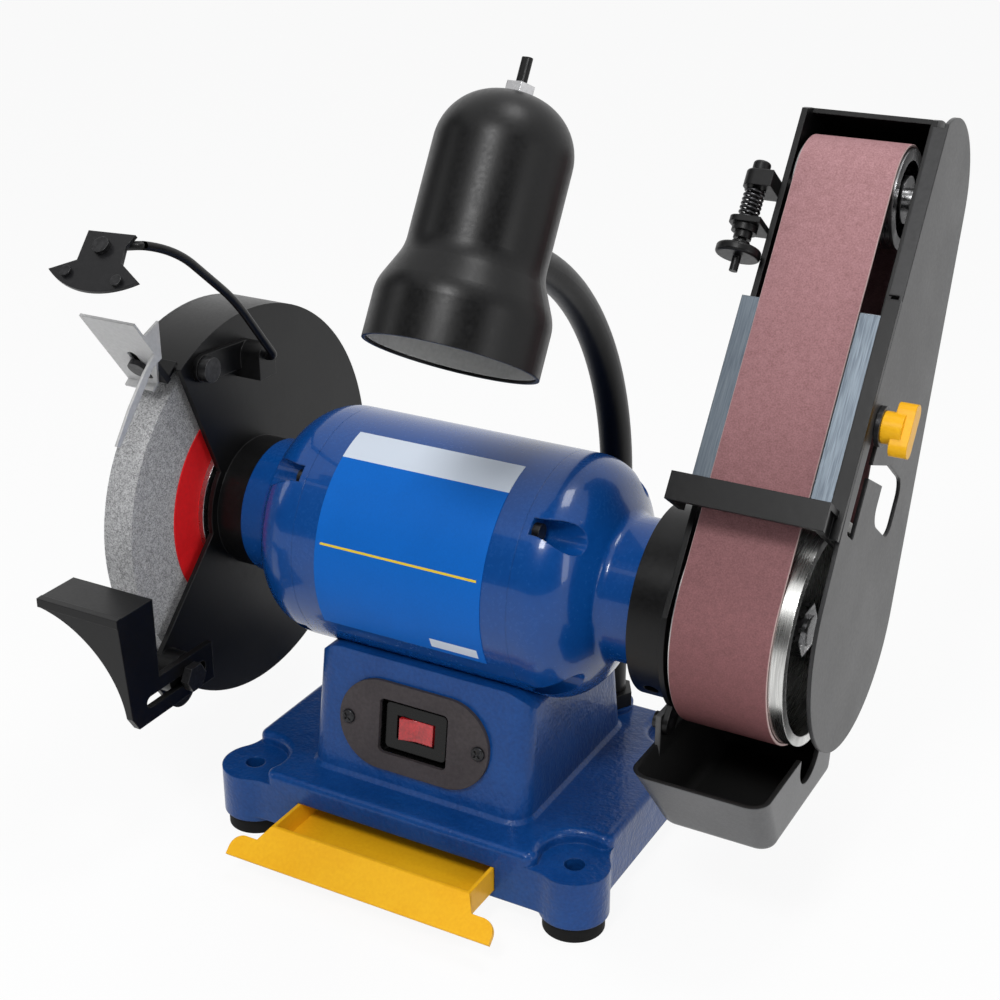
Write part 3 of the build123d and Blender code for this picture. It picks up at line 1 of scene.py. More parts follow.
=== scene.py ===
import json
import math
import bpy
import numpy as np
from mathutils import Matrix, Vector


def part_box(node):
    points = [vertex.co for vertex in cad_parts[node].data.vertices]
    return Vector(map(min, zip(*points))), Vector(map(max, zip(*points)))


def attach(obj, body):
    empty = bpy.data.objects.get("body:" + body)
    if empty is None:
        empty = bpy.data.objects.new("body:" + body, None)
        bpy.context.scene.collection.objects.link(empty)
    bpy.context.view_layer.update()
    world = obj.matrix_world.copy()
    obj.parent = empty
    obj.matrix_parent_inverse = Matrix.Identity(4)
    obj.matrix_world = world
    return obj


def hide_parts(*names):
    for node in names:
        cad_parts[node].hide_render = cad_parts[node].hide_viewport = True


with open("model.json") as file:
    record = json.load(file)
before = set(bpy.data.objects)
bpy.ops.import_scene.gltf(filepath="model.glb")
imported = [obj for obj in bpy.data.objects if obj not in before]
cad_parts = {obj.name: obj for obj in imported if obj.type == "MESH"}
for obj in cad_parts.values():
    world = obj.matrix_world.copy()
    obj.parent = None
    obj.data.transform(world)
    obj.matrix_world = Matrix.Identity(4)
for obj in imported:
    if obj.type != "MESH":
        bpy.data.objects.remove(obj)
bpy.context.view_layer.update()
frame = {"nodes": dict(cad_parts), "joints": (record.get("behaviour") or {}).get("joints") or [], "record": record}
nodes = frame["nodes"]
joints = {j["name"]: j for j in frame["joints"]}
print("frame loaded:", len(nodes), "nodes")

shaft = np.array(joints["spindle_spin"]["pos_m"])
idlerAxis = np.array(joints["idler_spin"]["pos_m"])
armUp = np.array(joints["ledge_slide"]["axis"])
armUp = armUp / np.linalg.norm(armUp)
armFront = np.cross(armUp, [1.0, 0.0, 0.0])   # square to the arm and the shaft
armFront = armFront if armFront[1] < 0 else -armFront


# camera and light

cameraLook = {"place": (0.4339, -0.7510, 0.5791), "tilt": 66.214, "turn": 28.887,
              "lens": 62.75, "sensor": 36.0}

camData = bpy.data.cameras.new("camera")
camData.lens = cameraLook["lens"]
camData.sensor_width = cameraLook["sensor"]
camera = bpy.data.objects.new("camera", camData)
camera.location = cameraLook["place"]
camera.rotation_euler = (math.radians(cameraLook["tilt"]), 0.0, math.radians(cameraLook["turn"]))
bpy.context.scene.collection.objects.link(camera)
bpy.context.scene.camera = camera
bpy.context.scene.view_settings.view_transform = "Standard"

lampAim = (0.0, 0.0, 0.2)
lampLooks = {
    "keyBox": {"place": (0.16, -1.10, 1.45), "size": (0.35, 0.35), "watts": 12.0},
    "leftBox": {"place": (-1.20, -0.60, 0.80), "size": (0.30, 0.50), "watts": 1.5},
    "rightBox": {"place": (1.30, -0.45, 0.55), "size": (0.30, 0.60), "watts": 3.0},
    "topBox": {"place": (0.30, 0.15, 1.60), "size": (0.50, 0.35), "watts": 6.0},
}


def aimAt(obj, target):
    # turn the lamp's -Z towards the target
    way = np.array(target, float) - np.array(obj.location, float)
    tilt = math.atan2(math.hypot(way[0], way[1]), -way[2])
    obj.rotation_euler = (tilt, 0.0, math.atan2(way[1], way[0]) - math.pi / 2)


for name, look in lampLooks.items():
    data = bpy.data.lights.new(name, "AREA")
    data.shape = "RECTANGLE"
    data.size, data.size_y = look["size"]
    data.energy = look["watts"]
    lampObj = bpy.data.objects.new(name, data)
    lampObj.location = look["place"]
    bpy.context.scene.collection.objects.link(lampObj)
    aimAt(lampObj, lampAim)

worldLook = {"fill": 0.36, "tone": (0.96, 0.98, 1.0, 1.0), "seen": (1.0, 1.0, 1.0, 1.0)}

world = bpy.data.worlds.new("studio")
bpy.context.scene.world = world
world.use_nodes = True
worldTree = world.node_tree
worldTree.nodes.clear()


def calc(tree, operation, a, b):
    node = tree.nodes.new("ShaderNodeMath")
    node.operation = operation
    for i, item in enumerate((a, b)):
        if isinstance(item, (int, float)):
            node.inputs[i].default_value = item
        else:
            tree.links.new(item, node.inputs[i])
    return node.outputs[0]


def seenRay(tree):
    # 1 for rays that show the backdrop as it is: camera, glossy and transmission
    path = tree.nodes.new("ShaderNodeLightPath").outputs
    direct = calc(tree, "MAXIMUM", path["Is Camera Ray"], path["Is Glossy Ray"])
    return calc(tree, "MAXIMUM", direct, path["Is Transmission Ray"])


skyFill = worldTree.nodes.new("ShaderNodeBackground")
skyFill.inputs["Color"].default_value = worldLook["tone"]
skyFill.inputs["Strength"].default_value = worldLook["fill"]
skyWhite = worldTree.nodes.new("ShaderNodeBackground")
skyWhite.inputs["Color"].default_value = worldLook["seen"]
skyMix = worldTree.nodes.new("ShaderNodeMixShader")
skyOut = worldTree.nodes.new("ShaderNodeOutputWorld")
worldTree.links.new(seenRay(worldTree), skyMix.inputs[0])
worldTree.links.new(skyFill.outputs[0], skyMix.inputs[1])
worldTree.links.new(skyWhite.outputs[0], skyMix.inputs[2])
worldTree.links.new(skyMix.outputs[0], skyOut.inputs[0])
print("camera and light placed")


# nodes and groups shared by the finishes

spreads = {"tone": (0.36, 0.64), "lines": (0.3, 0.7), "cells": (0.2, 0.8),
           "belt": (0.32, 0.68)}   # where each noise has most of its values
noiseDetail = {"plain": 2.0, "broad": 3.0, "lines": 4.0, "grit": 4.0, "patch": 6.0}   # octaves


def newGroup(name, inputs, outputs):
    tree = bpy.data.node_groups.new(name, "ShaderNodeTree")
    for label, kind, value in inputs:
        socket = tree.interface.new_socket(label, in_out="INPUT", socket_type=kind)
        socket.default_value = value
    for label, kind in outputs:
        tree.interface.new_socket(label, in_out="OUTPUT", socket_type=kind)
    enter = tree.nodes.new("NodeGroupInput")
    leave = tree.nodes.new("NodeGroupOutput")
    return tree, enter.outputs, leave.inputs


def mapRange(tree, source, low, high, start=0.0, end=1.0):
    node = tree.nodes.new("ShaderNodeMapRange")
    node.inputs["From Min"].default_value = low
    node.inputs["From Max"].default_value = high
    node.inputs["To Min"].default_value = start
    node.inputs["To Max"].default_value = end
    tree.links.new(source, node.inputs["Value"])
    return node.outputs["Result"]


def vectorCalc(tree, operation, a, b=None):
    node = tree.nodes.new("ShaderNodeVectorMath")
    node.operation = operation
    for i, item in enumerate((a, b)):
        if isinstance(item, tuple):
            node.inputs[i].default_value = item
        elif item is not None:
            tree.links.new(item, node.inputs[i])
    return node.outputs["Value" if operation in ("DOT_PRODUCT", "LENGTH") else "Vector"]


def mean(tree, a, b):
    return calc(tree, "MULTIPLY", calc(tree, "ADD", a, b), 0.5)


def blendColor(tree, share, a, b):
    node = tree.nodes.new("ShaderNodeMix")
    node.data_type = "RGBA"
    for item, socket in ((share, node.inputs[0]), (a, node.inputs[6]), (b, node.inputs[7])):
        if isinstance(item, tuple):
            socket.default_value = item
        else:
            tree.links.new(item, socket)
    return node.outputs[2]


def addNoise(tree, vector, scale, kind="plain"):
    # scale is a number, or a socket of the group around it
    node = tree.nodes.new("ShaderNodeTexNoise")
    node.inputs["Detail"].default_value = noiseDetail[kind]
    if isinstance(scale, (int, float)):
        node.inputs["Scale"].default_value = scale
    else:
        tree.links.new(scale, node.inputs["Scale"])
    tree.links.new(vector, node.inputs["Vector"])
    return node


def objectCoord(tree):
    return tree.nodes.new("ShaderNodeTexCoord").outputs["Object"]


def toneGroup():
    # two sizes of noise move the colour between a dark and a light tone
    tree, enter, leave = newGroup("toneDrift", [
        ("Dark", "NodeSocketColor", (0, 0, 0, 1)), ("Light", "NodeSocketColor", (1, 1, 1, 1)),
        ("Scale", "NodeSocketFloat", 40.0), ("Fine", "NodeSocketFloat", 600.0)],
        [("Color", "NodeSocketColor"), ("Value", "NodeSocketFloat")])
    coord = objectCoord(tree)
    broad = addNoise(tree, coord, enter["Scale"], "broad").outputs["Fac"]
    fine = addNoise(tree, coord, enter["Fine"]).outputs["Fac"]
    value = mapRange(tree, mean(tree, broad, fine), *spreads["tone"])
    tree.links.new(blendColor(tree, value, enter["Dark"], enter["Light"]), leave["Color"])
    tree.links.new(value, leave["Value"])
    return tree


def edgeGroup():
    # a rounded normal over each edge, and a mask where it leaves the flat one
    tree, enter, leave = newGroup("roundedEdge", [
        ("Radius", "NodeSocketFloat", 0.0006), ("Gain", "NodeSocketFloat", 6.0)],
        [("Normal", "NodeSocketVector"), ("Mask", "NodeSocketFloat")])
    bevel = tree.nodes.new("ShaderNodeBevel")
    bevel.samples = 4
    tree.links.new(enter["Radius"], bevel.inputs["Radius"])
    flat = tree.nodes.new("ShaderNodeNewGeometry").outputs["Normal"]
    match = vectorCalc(tree, "DOT_PRODUCT", bevel.outputs["Normal"], flat)
    lift = calc(tree, "MULTIPLY", calc(tree, "SUBTRACT", 1.0, match), enter["Gain"])
    tree.links.new(bevel.outputs["Normal"], leave["Normal"])
    tree.links.new(calc(tree, "MINIMUM", lift, 1.0), leave["Mask"])
    return tree


def peelGroup():
    # low ripples of sprayed paint, with fine grit over them
    tree, enter, leave = newGroup("paintPeel", [
        ("Ripple", "NodeSocketFloat", 220.0), ("Grit", "NodeSocketFloat", 1800.0),
        ("GritShare", "NodeSocketFloat", 0.3)], [("Height", "NodeSocketFloat")])
    coord = objectCoord(tree)
    ripple = addNoise(tree, coord, enter["Ripple"]).outputs["Fac"]
    grit = addNoise(tree, coord, enter["Grit"]).outputs["Fac"]
    share = calc(tree, "MULTIPLY", grit, enter["GritShare"])
    tree.links.new(calc(tree, "ADD", ripple, share), leave["Height"])
    return tree


groups = {"tone": toneGroup(), "edge": edgeGroup(), "peel": peelGroup()}


def placeGroup(tree, key, **values):
    node = tree.nodes.new("ShaderNodeGroup")
    node.node_tree = groups[key]
    for label, value in values.items():
        node.inputs[label].default_value = value
    return node.outputs


# finishes

def newFinish(name):
    mat = bpy.data.materials.new(name)
    mat.use_nodes = True
    tree = mat.node_tree
    tree.nodes.clear()
    shader = tree.nodes.new("ShaderNodeBsdfPrincipled")
    out = tree.nodes.new("ShaderNodeOutputMaterial")
    tree.links.new(shader.outputs[0], out.inputs[0])
    return mat, tree, shader.inputs


def rgba(color):
    return (color[0], color[1], color[2], 1.0)


def scaled(color, share):
    return rgba([c * share for c in color])


def addBump(tree, shader, height, edge, strength, depth):
    bump = tree.nodes.new("ShaderNodeBump")
    bump.inputs["Strength"].default_value = strength
    bump.inputs["Distance"].default_value = depth
    tree.links.new(height, bump.inputs["Height"])
    if edge is not None:
        tree.links.new(edge["Normal"], bump.inputs["Normal"])
    tree.links.new(bump.outputs["Normal"], shader["Normal"])


def toneOf(tree, look):
    return placeGroup(tree, "tone", Dark=rgba(look["dark"]), Light=rgba(look["light"]),
                      Scale=look["scale"], Fine=look["fine"])


def peelOf(tree, look):
    return placeGroup(tree, "peel", Ripple=look["ripple"], Grit=look["grit"],
                      GritShare=look["gritShare"])["Height"]


coatUsual = {"scale": 30.0, "fine": 500.0, "round": 0.0006, "metal": 0.0, "specular": 0.5,
             "coat": 0.0, "coatRough": 0.08, "wearAndGlint": 0.0, "wearAndGlintColor": (0.5, 0.5, 0.5),
             "ripple": 220.0, "grit": 1800.0, "gritShare": 0.3, "bump": 0.1, "depth": 0.0004}
coatRoughDrift = 0.12   # share by which the roughness follows the tone


def coatedFinish(name, look):
    # paint or plastic: drifting tone, edges lightened by wear and a painted highlight, and a peel bump under the
    # gloss
    mat, tree, shader = newFinish(name)
    look = {**coatUsual, **look}
    tone = toneOf(tree, look)
    edge = placeGroup(tree, "edge", Radius=look["round"])
    color = tone["Color"]
    # edges lightened towards a paler colour: part wear, part painted highlight
    if look["wearAndGlint"]:
        share = calc(tree, "MULTIPLY", edge["Mask"], look["wearAndGlint"])
        color = blendColor(tree, share, color, rgba(look["wearAndGlintColor"]))
    tree.links.new(color, shader["Base Color"])
    rough = mapRange(tree, tone["Value"], 0.0, 1.0, look["rough"] * (1 - coatRoughDrift),
                     look["rough"] * (1 + coatRoughDrift))
    tree.links.new(rough, shader["Roughness"])
    shader["Metallic"].default_value = look["metal"]
    shader["Specular IOR Level"].default_value = look["specular"]
    if look["coat"]:
        shader["Coat Weight"].default_value = look["coat"]
        shader["Coat Roughness"].default_value = look["coatRough"]
    addBump(tree, shader, peelOf(tree, look), edge, look["bump"], look["depth"])
    return mat


# the edge share and colour paint a highlight along the edges
metalUsual = {"round": 0.0005, "metal": 1.0, "bump": 0.06, "depth": 0.0002, "edgeGlint": 0.4,
              "edgeGlintColor": (0.85, 0.86, 0.87)}
metalRoughDrift = 0.2   # share by which the roughness follows the brush lines


def brushLines(tree, scales):
    # noise stretched by its own scale along each axis
    stretch = tree.nodes.new("ShaderNodeMapping")
    stretch.inputs["Scale"].default_value = scales
    tree.links.new(objectCoord(tree), stretch.inputs["Vector"])
    lines = addNoise(tree, stretch.outputs["Vector"], 1.0, "lines").outputs["Fac"]
    return lines, mapRange(tree, lines, *spreads["lines"])


def brushedFinish(name, look):
    # bare metal with brush lines, and a painted highlight along the edges
    mat, tree, shader = newFinish(name)
    look = {**metalUsual, **look}
    edge = placeGroup(tree, "edge", Radius=look["round"])
    lines, share = brushLines(tree, look["lines"])
    color = blendColor(tree, share, rgba(look["dark"]), rgba(look["light"]))
    # painted highlight along the edges
    edgeGlint = calc(tree, "MULTIPLY", edge["Mask"], look["edgeGlint"])
    color = blendColor(tree, edgeGlint, color, rgba(look["edgeGlintColor"]))
    tree.links.new(color, shader["Base Color"])
    rough = mapRange(tree, share, 0.0, 1.0, look["rough"] * (1 + metalRoughDrift),
                     look["rough"] * (1 - metalRoughDrift))
    tree.links.new(rough, shader["Roughness"])
    shader["Metallic"].default_value = look["metal"]
    addBump(tree, shader, lines, edge, look["bump"], look["depth"])
    return mat


def grainFinish(name, look):
    # bonded abrasive: cells of mixed tones, each one raised or sunk a little
    mat, tree, shader = newFinish(name)
    coord = objectCoord(tree)
    cells = tree.nodes.new("ShaderNodeTexVoronoi")
    cells.inputs["Scale"].default_value = look["cells"]
    tree.links.new(coord, cells.inputs["Vector"])
    drift = addNoise(tree, coord, look["drift"], "patch").outputs["Fac"]
    split = tree.nodes.new("ShaderNodeSeparateColor")
    tree.links.new(cells.outputs["Color"], split.inputs[0])
    share = mapRange(tree, mean(tree, split.outputs[0], drift), *spreads["cells"])
    color = blendColor(tree, share, rgba(look["dark"]), rgba(look["light"]))
    tree.links.new(color, shader["Base Color"])
    shader["Roughness"].default_value = look["rough"]
    shader["Specular IOR Level"].default_value = look["specular"]
    addBump(tree, shader, share, None, look["bump"], look["depth"])
    return mat


finishLooks = {
    "base_blue": {"dark": (0.003, 0.044, 0.195), "light": (0.006, 0.064, 0.255), "rough": 0.32,
                  "coat": 0.20, "coatRough": 0.12, "specular": 0.20, "ripple": 130.0,
                  "grit": 520.0, "gritShare": 0.5, "bump": 0.40, "depth": 0.0012,
                  "round": 0.0014, "wearAndGlint": 0.10, "wearAndGlintColor": (0.06, 0.16, 0.40)},
    "motor_blue": {"dark": (0.002, 0.050, 0.225), "light": (0.003, 0.061, 0.260), "rough": 0.26,
                   "coat": 0.40, "coatRough": 0.05, "specular": 0.20, "bump": 0.04,
                   "round": 0.0010},
    "foot_rubber": {"dark": (0.006, 0.006, 0.006), "light": (0.012, 0.012, 0.012),
                    "rough": 0.75, "bump": 0.2, "specular": 0.15},
    "switch_brown": {"dark": (0.042, 0.036, 0.038), "light": (0.064, 0.055, 0.058),
                     "rough": 0.50, "bump": 0.25, "specular": 0.2, "grit": 1400.0,
                     "gritShare": 0.9, "round": 0.0005},
    "black_plastic": {"dark": (0.002, 0.002, 0.002), "light": (0.004, 0.004, 0.004),
                      "rough": 0.28, "bump": 0.1, "specular": 0.28},
    "signal_yellow": {"dark": (0.90, 0.44, 0.010), "light": (0.96, 0.51, 0.014), "rough": 0.34,
                      "coat": 0.05, "specular": 0.2, "bump": 0.08, "round": 0.0008},
    "satin_black": {"dark": (0.002, 0.002, 0.0022), "light": (0.004, 0.004, 0.0044),
                    "rough": 0.38, "bump": 0.08, "specular": 0.27, "round": 0.0007,
                    "wearAndGlint": 0.04, "wearAndGlintColor": (0.20, 0.20, 0.21)},
    "cover_grey": {"dark": (0.026, 0.026, 0.027), "light": (0.036, 0.036, 0.037),
                   "rough": 0.34, "bump": 0.1, "specular": 0.25, "round": 0.0012},
    "bracket_grey": {"dark": (0.005, 0.005, 0.006), "light": (0.011, 0.011, 0.012),
                     "rough": 0.34, "bump": 0.15, "specular": 0.28, "round": 0.0006},
    "blotter_red": {"dark": (0.66, 0.009, 0.012), "light": (0.78, 0.013, 0.017), "rough": 0.6,
                    "bump": 0.1, "specular": 0.2},
    "zinc_plate": {"dark": (0.48, 0.48, 0.48), "light": (0.58, 0.58, 0.58), "rough": 0.48,
                   "metal": 0.35, "bump": 0.1},
    # the white liner's grey tone is painted shade inside the lamp shade
    "liner_white": {"dark": (0.34, 0.34, 0.335), "light": (0.42, 0.42, 0.415), "rough": 0.5,
                    "bump": 0.05},
    "holder_ceramic": {"dark": (0.74, 0.72, 0.68), "light": (0.80, 0.78, 0.74), "rough": 0.25,
                       "bump": 0.05},
    "copper_wire": {"dark": (0.45, 0.16, 0.06), "light": (0.62, 0.26, 0.10), "rough": 0.4,
                    "metal": 0.8},
}
metalLooks = {
    "bright_steel": {"dark": (0.46, 0.46, 0.47), "light": (0.62, 0.62, 0.63), "rough": 0.30,
                     "lines": (400, 400, 400)},
    "black_screws": {"dark": (0.014, 0.014, 0.015), "light": (0.034, 0.034, 0.036),
                     "rough": 0.36, "metal": 0.6, "lines": (500, 500, 500), "edgeGlint": 0.06},
    "bearing_steel": {"dark": (0.50, 0.50, 0.51), "light": (0.66, 0.66, 0.67), "rough": 0.25,
                      "lines": (900, 90, 90)},
    "laminated_steel": {"dark": (0.20, 0.20, 0.21), "light": (0.38, 0.38, 0.39), "rough": 0.5,
                        "lines": (2000, 60, 60)},
    "capacitor_can": {"dark": (0.60, 0.60, 0.61), "light": (0.74, 0.74, 0.75), "rough": 0.35,
                      "lines": (60, 800, 800)},
    "idler_steel": {"dark": (0.16, 0.16, 0.165), "light": (0.34, 0.34, 0.345), "rough": 0.28,
                    "lines": (1600, 60, 60)},
    "platen_steel": {"dark": (0.075, 0.09, 0.11), "light": (0.14, 0.165, 0.19), "rough": 0.36,
                     "lines": (1500, 70, 70)},
    "spring_steel": {"dark": (0.02, 0.02, 0.022), "light": (0.07, 0.07, 0.073), "rough": 0.32,
                     "lines": (300, 300, 300), "edgeGlint": 0.1},
}
grainLooks = {
    "abrasive_grey": {"dark": (0.20, 0.20, 0.203), "light": (0.56, 0.56, 0.567),
                      "cells": 1500.0, "drift": 300.0, "rough": 0.9, "specular": 0.25,
                      "bump": 0.5, "depth": 0.0006},
}
finishes = {}
for make, looks in ((coatedFinish, finishLooks), (brushedFinish, metalLooks),
                    (grainFinish, grainLooks)):
    finishes.update({name: make(name + "Finish", look) for name, look in looks.items()})


# the near-black inside tone is painted shade in the scoop's hollow
scoopLook = {"dark": (0.085, 0.085, 0.087), "light": (0.112, 0.112, 0.115),
             "inside": (0.004, 0.004, 0.004), "scale": 30.0, "fine": 700.0, "round": 0.0016,
             "turnOver": 0.004, "roughOutside": 0.36, "roughInside": 0.6, "specular": 0.3,
             "ripple": 220.0, "grit": 1500.0, "gritShare": 0.7, "bump": 0.15, "depth": 0.0004}


def scoopFinish(look):
    # moulded plastic: walls that look towards the middle of the scoop are painted near black as shade in its
    # hollow
    mat, tree, shader = newFinish("scoopPlasticFinish")
    low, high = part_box("dust_scoop")
    middle = ((low[0] + high[0]) / 2, (low[1] + high[1]) / 2, high[2])
    coord = tree.nodes.new("ShaderNodeTexCoord").outputs
    reach = vectorCalc(tree, "SUBTRACT", coord["Object"], middle)
    facing = vectorCalc(tree, "DOT_PRODUCT", reach, coord["Normal"])
    inside = mapRange(tree, facing, 0.0, -look["turnOver"])
    tone = toneOf(tree, look)
    edge = placeGroup(tree, "edge", Radius=look["round"])
    color = blendColor(tree, inside, tone["Color"], rgba(look["inside"]))
    tree.links.new(color, shader["Base Color"])
    rough = mapRange(tree, inside, 0.0, 1.0, look["roughOutside"], look["roughInside"])
    tree.links.new(rough, shader["Roughness"])
    shader["Specular IOR Level"].default_value = look["specular"]
    addBump(tree, shader, peelOf(tree, look), edge, look["bump"], look["depth"])
    return mat


# the web's near-black tone is painted shade inside the rim
wheelLook = {"bright": (0.74, 0.74, 0.72), "brushed": (0.50, 0.50, 0.49),
             "web": (0.012, 0.012, 0.013), "rimInside": 0.0520, "rimFade": 0.0004,
             "lines": (1600, 60, 60), "round": 0.0006, "roughDull": 0.34, "roughBright": 0.22,
             "bump": 0.06, "depth": 0.0002}


def driveFinish(look):
    # turned rim, and a near-black web inside it that is painted shade, told apart by the distance from the shaft
    mat, tree, shader = newFinish("driveSilverFinish")
    away = vectorCalc(tree, "SUBTRACT", objectCoord(tree), tuple(shaft))
    across = vectorCalc(tree, "MULTIPLY", away, (0.0, 1.0, 1.0))
    reach = vectorCalc(tree, "LENGTH", across)
    rim = mapRange(tree, reach, look["rimInside"], look["rimInside"] + look["rimFade"])
    lines, share = brushLines(tree, look["lines"])
    metal = blendColor(tree, share, rgba(look["brushed"]), rgba(look["bright"]))
    edge = placeGroup(tree, "edge", Radius=look["round"])
    tree.links.new(blendColor(tree, rim, rgba(look["web"]), metal), shader["Base Color"])
    tree.links.new(rim, shader["Metallic"])
    rough = mapRange(tree, share, 0.0, 1.0, look["roughDull"], look["roughBright"])
    tree.links.new(rough, shader["Roughness"])
    addBump(tree, shader, lines, edge, look["bump"], look["depth"])
    return mat


rockerLook = {"dark": (0.26, 0.003, 0.006), "light": (0.50, 0.012, 0.018), "scale": 160.0,
              "fine": 700.0, "round": 0.0008, "glow": 0.12, "rough": 0.16, "coat": 0.6}


def rockerFinish(look):
    # lit red plastic with a clear skin
    mat, tree, shader = newFinish("rockerRedFinish")
    tone = toneOf(tree, look)
    edge = placeGroup(tree, "edge", Radius=look["round"])
    tree.links.new(tone["Color"], shader["Base Color"])
    tree.links.new(tone["Color"], shader["Emission Color"])
    tree.links.new(edge["Normal"], shader["Normal"])
    shader["Emission Strength"].default_value = look["glow"]
    shader["Roughness"].default_value = look["rough"]
    shader["Coat Weight"].default_value = look["coat"]
    return mat


bulbLook = {"dark": (0.86, 0.85, 0.80), "light": (0.94, 0.93, 0.90), "scale": 60.0,
            "fine": 900.0, "rough": 0.35, "coat": 0.5}


def bulbFinish(look):
    # frosted glass, unlit
    mat, tree, shader = newFinish("bulbGlassFinish")
    tree.links.new(toneOf(tree, look)["Color"], shader["Base Color"])
    shader["Roughness"].default_value = look["rough"]
    shader["Coat Weight"].default_value = look["coat"]
    return mat


plateLook = {"white": (0.60, 0.66, 0.75), "blue": (0.003, 0.125, 0.520), "blueDark": 0.9,
             "rule": (0.78, 0.56, 0.04), "bandEnd": 58.0, "ruleAngle": 15.5, "ruleHalf": 0.55,
             "ruleSpan": (0.03, 0.97), "boxAngles": (-25.5, -20.0), "boxSpan": (0.68, 0.96),
             "scale": 30.0, "fine": 800.0, "rough": 0.45, "specular": 0.12}


def plateFinish(look):
    # printed foil: the angle round the motor and the length along it give the print's fields
    mat, tree, shader = newFinish("platePrintFinish")
    low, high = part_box("nameplate")
    split = tree.nodes.new("ShaderNodeSeparateXYZ")
    tree.links.new(objectCoord(tree), split.inputs[0])
    depth = calc(tree, "SUBTRACT", float(shaft[1]), split.outputs["Y"])
    rise = calc(tree, "SUBTRACT", split.outputs["Z"], float(shaft[2]))
    angle = calc(tree, "MULTIPLY", calc(tree, "ARCTAN2", rise, depth), 180.0 / math.pi)
    along = mapRange(tree, split.outputs["X"], low[0], high[0])

    def between(source, start, end):
        return calc(tree, "MULTIPLY", calc(tree, "GREATER_THAN", source, start),
                    calc(tree, "LESS_THAN", source, end))

    def field(angles, span):
        return calc(tree, "MULTIPLY", between(angle, *angles), between(along, *span))

    tone = placeGroup(tree, "tone", Dark=scaled(look["blue"], look["blueDark"]),
                      Light=rgba(look["blue"]), Scale=look["scale"], Fine=look["fine"])
    band = calc(tree, "GREATER_THAN", angle, look["bandEnd"])
    color = blendColor(tree, band, tone["Color"], rgba(look["white"]))
    ruleAngles = (look["ruleAngle"] - look["ruleHalf"], look["ruleAngle"] + look["ruleHalf"])
    color = blendColor(tree, field(ruleAngles, look["ruleSpan"]), color, rgba(look["rule"]))
    box = field(look["boxAngles"], look["boxSpan"])
    color = blendColor(tree, box, color, rgba(look["white"]))
    tree.links.new(color, shader["Base Color"])
    shader["Roughness"].default_value = look["rough"]
    shader["Specular IOR Level"].default_value = look["specular"]
    return mat


finishes["scoop_black"] = scoopFinish(scoopLook)
finishes["drive_silver"] = driveFinish(wheelLook)
finishes["rocker_red"] = rockerFinish(rockerLook)
finishes["bulb_glass"] = bulbFinish(bulbLook)
finishes["plate_print"] = plateFinish(plateLook)
print("finishes made:", len(finishes))


# new pieces

def gridPiece(name, points, wrapRows=False, wrapCols=False, capRows=False):
    # quads over a grid of points; a wrapped side joins its last line to the first,
    # and a cap closes the end rows
    rows, cols = points.shape[:2]
    ring = np.arange(rows * cols).reshape(rows, cols)
    index = np.vstack([ring, ring[:1]]) if wrapRows else ring
    index = np.hstack([index, index[:, :1]]) if wrapCols else index
    quads = np.stack([index[:-1, :-1], index[1:, :-1], index[1:, 1:], index[:-1, 1:]], -1)
    quads = quads.reshape(-1, 4)
    loops = [quads.reshape(-1)]
    totals = [np.full(len(quads), 4)]
    if capRows:
        loops += [ring[0], ring[-1][::-1]]
        totals += [np.array([cols]), np.array([cols])]
    loops = np.concatenate(loops).astype(np.int32)
    totals = np.concatenate(totals).astype(np.int32)
    starts = np.concatenate([[0], np.cumsum(totals)[:-1]]).astype(np.int32)
    mesh = bpy.data.meshes.new(name)
    mesh.vertices.add(rows * cols)
    mesh.vertices.foreach_set("co", np.ascontiguousarray(points, np.float32).reshape(-1))
    mesh.loops.add(len(loops))
    mesh.loops.foreach_set("vertex_index", loops)
    mesh.polygons.add(len(totals))
    mesh.polygons.foreach_set("loop_start", starts)
    mesh.polygons.foreach_set("loop_total", totals)
    mesh.polygons.foreach_set("use_smooth", np.ones(len(totals), bool))
    mesh.update(calc_edges=True)
    mesh.validate()
    piece = bpy.data.objects.new(name, mesh)
    bpy.context.scene.collection.objects.link(piece)
    return piece


def finishPiece(piece, slot, body, material=None):
    piece.data.materials.append(material or finishes[slot])
    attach(piece, body)


beltLook = {"name": "beltLoop", "steps": 360, "thickness": 0.0015, "driveRadius": 0.0577,
            "idlerRadius": 0.0257, "edgeRound": 0.00055,
            "dark": (0.270, 0.120, 0.128), "light": (0.520, 0.278, 0.300),
            # the tint and the two heights below paint shade that darkens the run low down
            "loaded": (0.34, 0.14, 0.155), "shadeLow": 0.13, "shadeHigh": 0.42,
            "edgeColor": (0.60, 0.46, 0.44), "edgeShare": 0.024, "grit": 1300.0,
            "gritShare": 0.65, "patch": 240.0, "patchRough": 0.7, "patchShare": 0.35,
            "rough": 0.85, "specular": 0.2, "bump": 0.5, "depth": 0.0005}


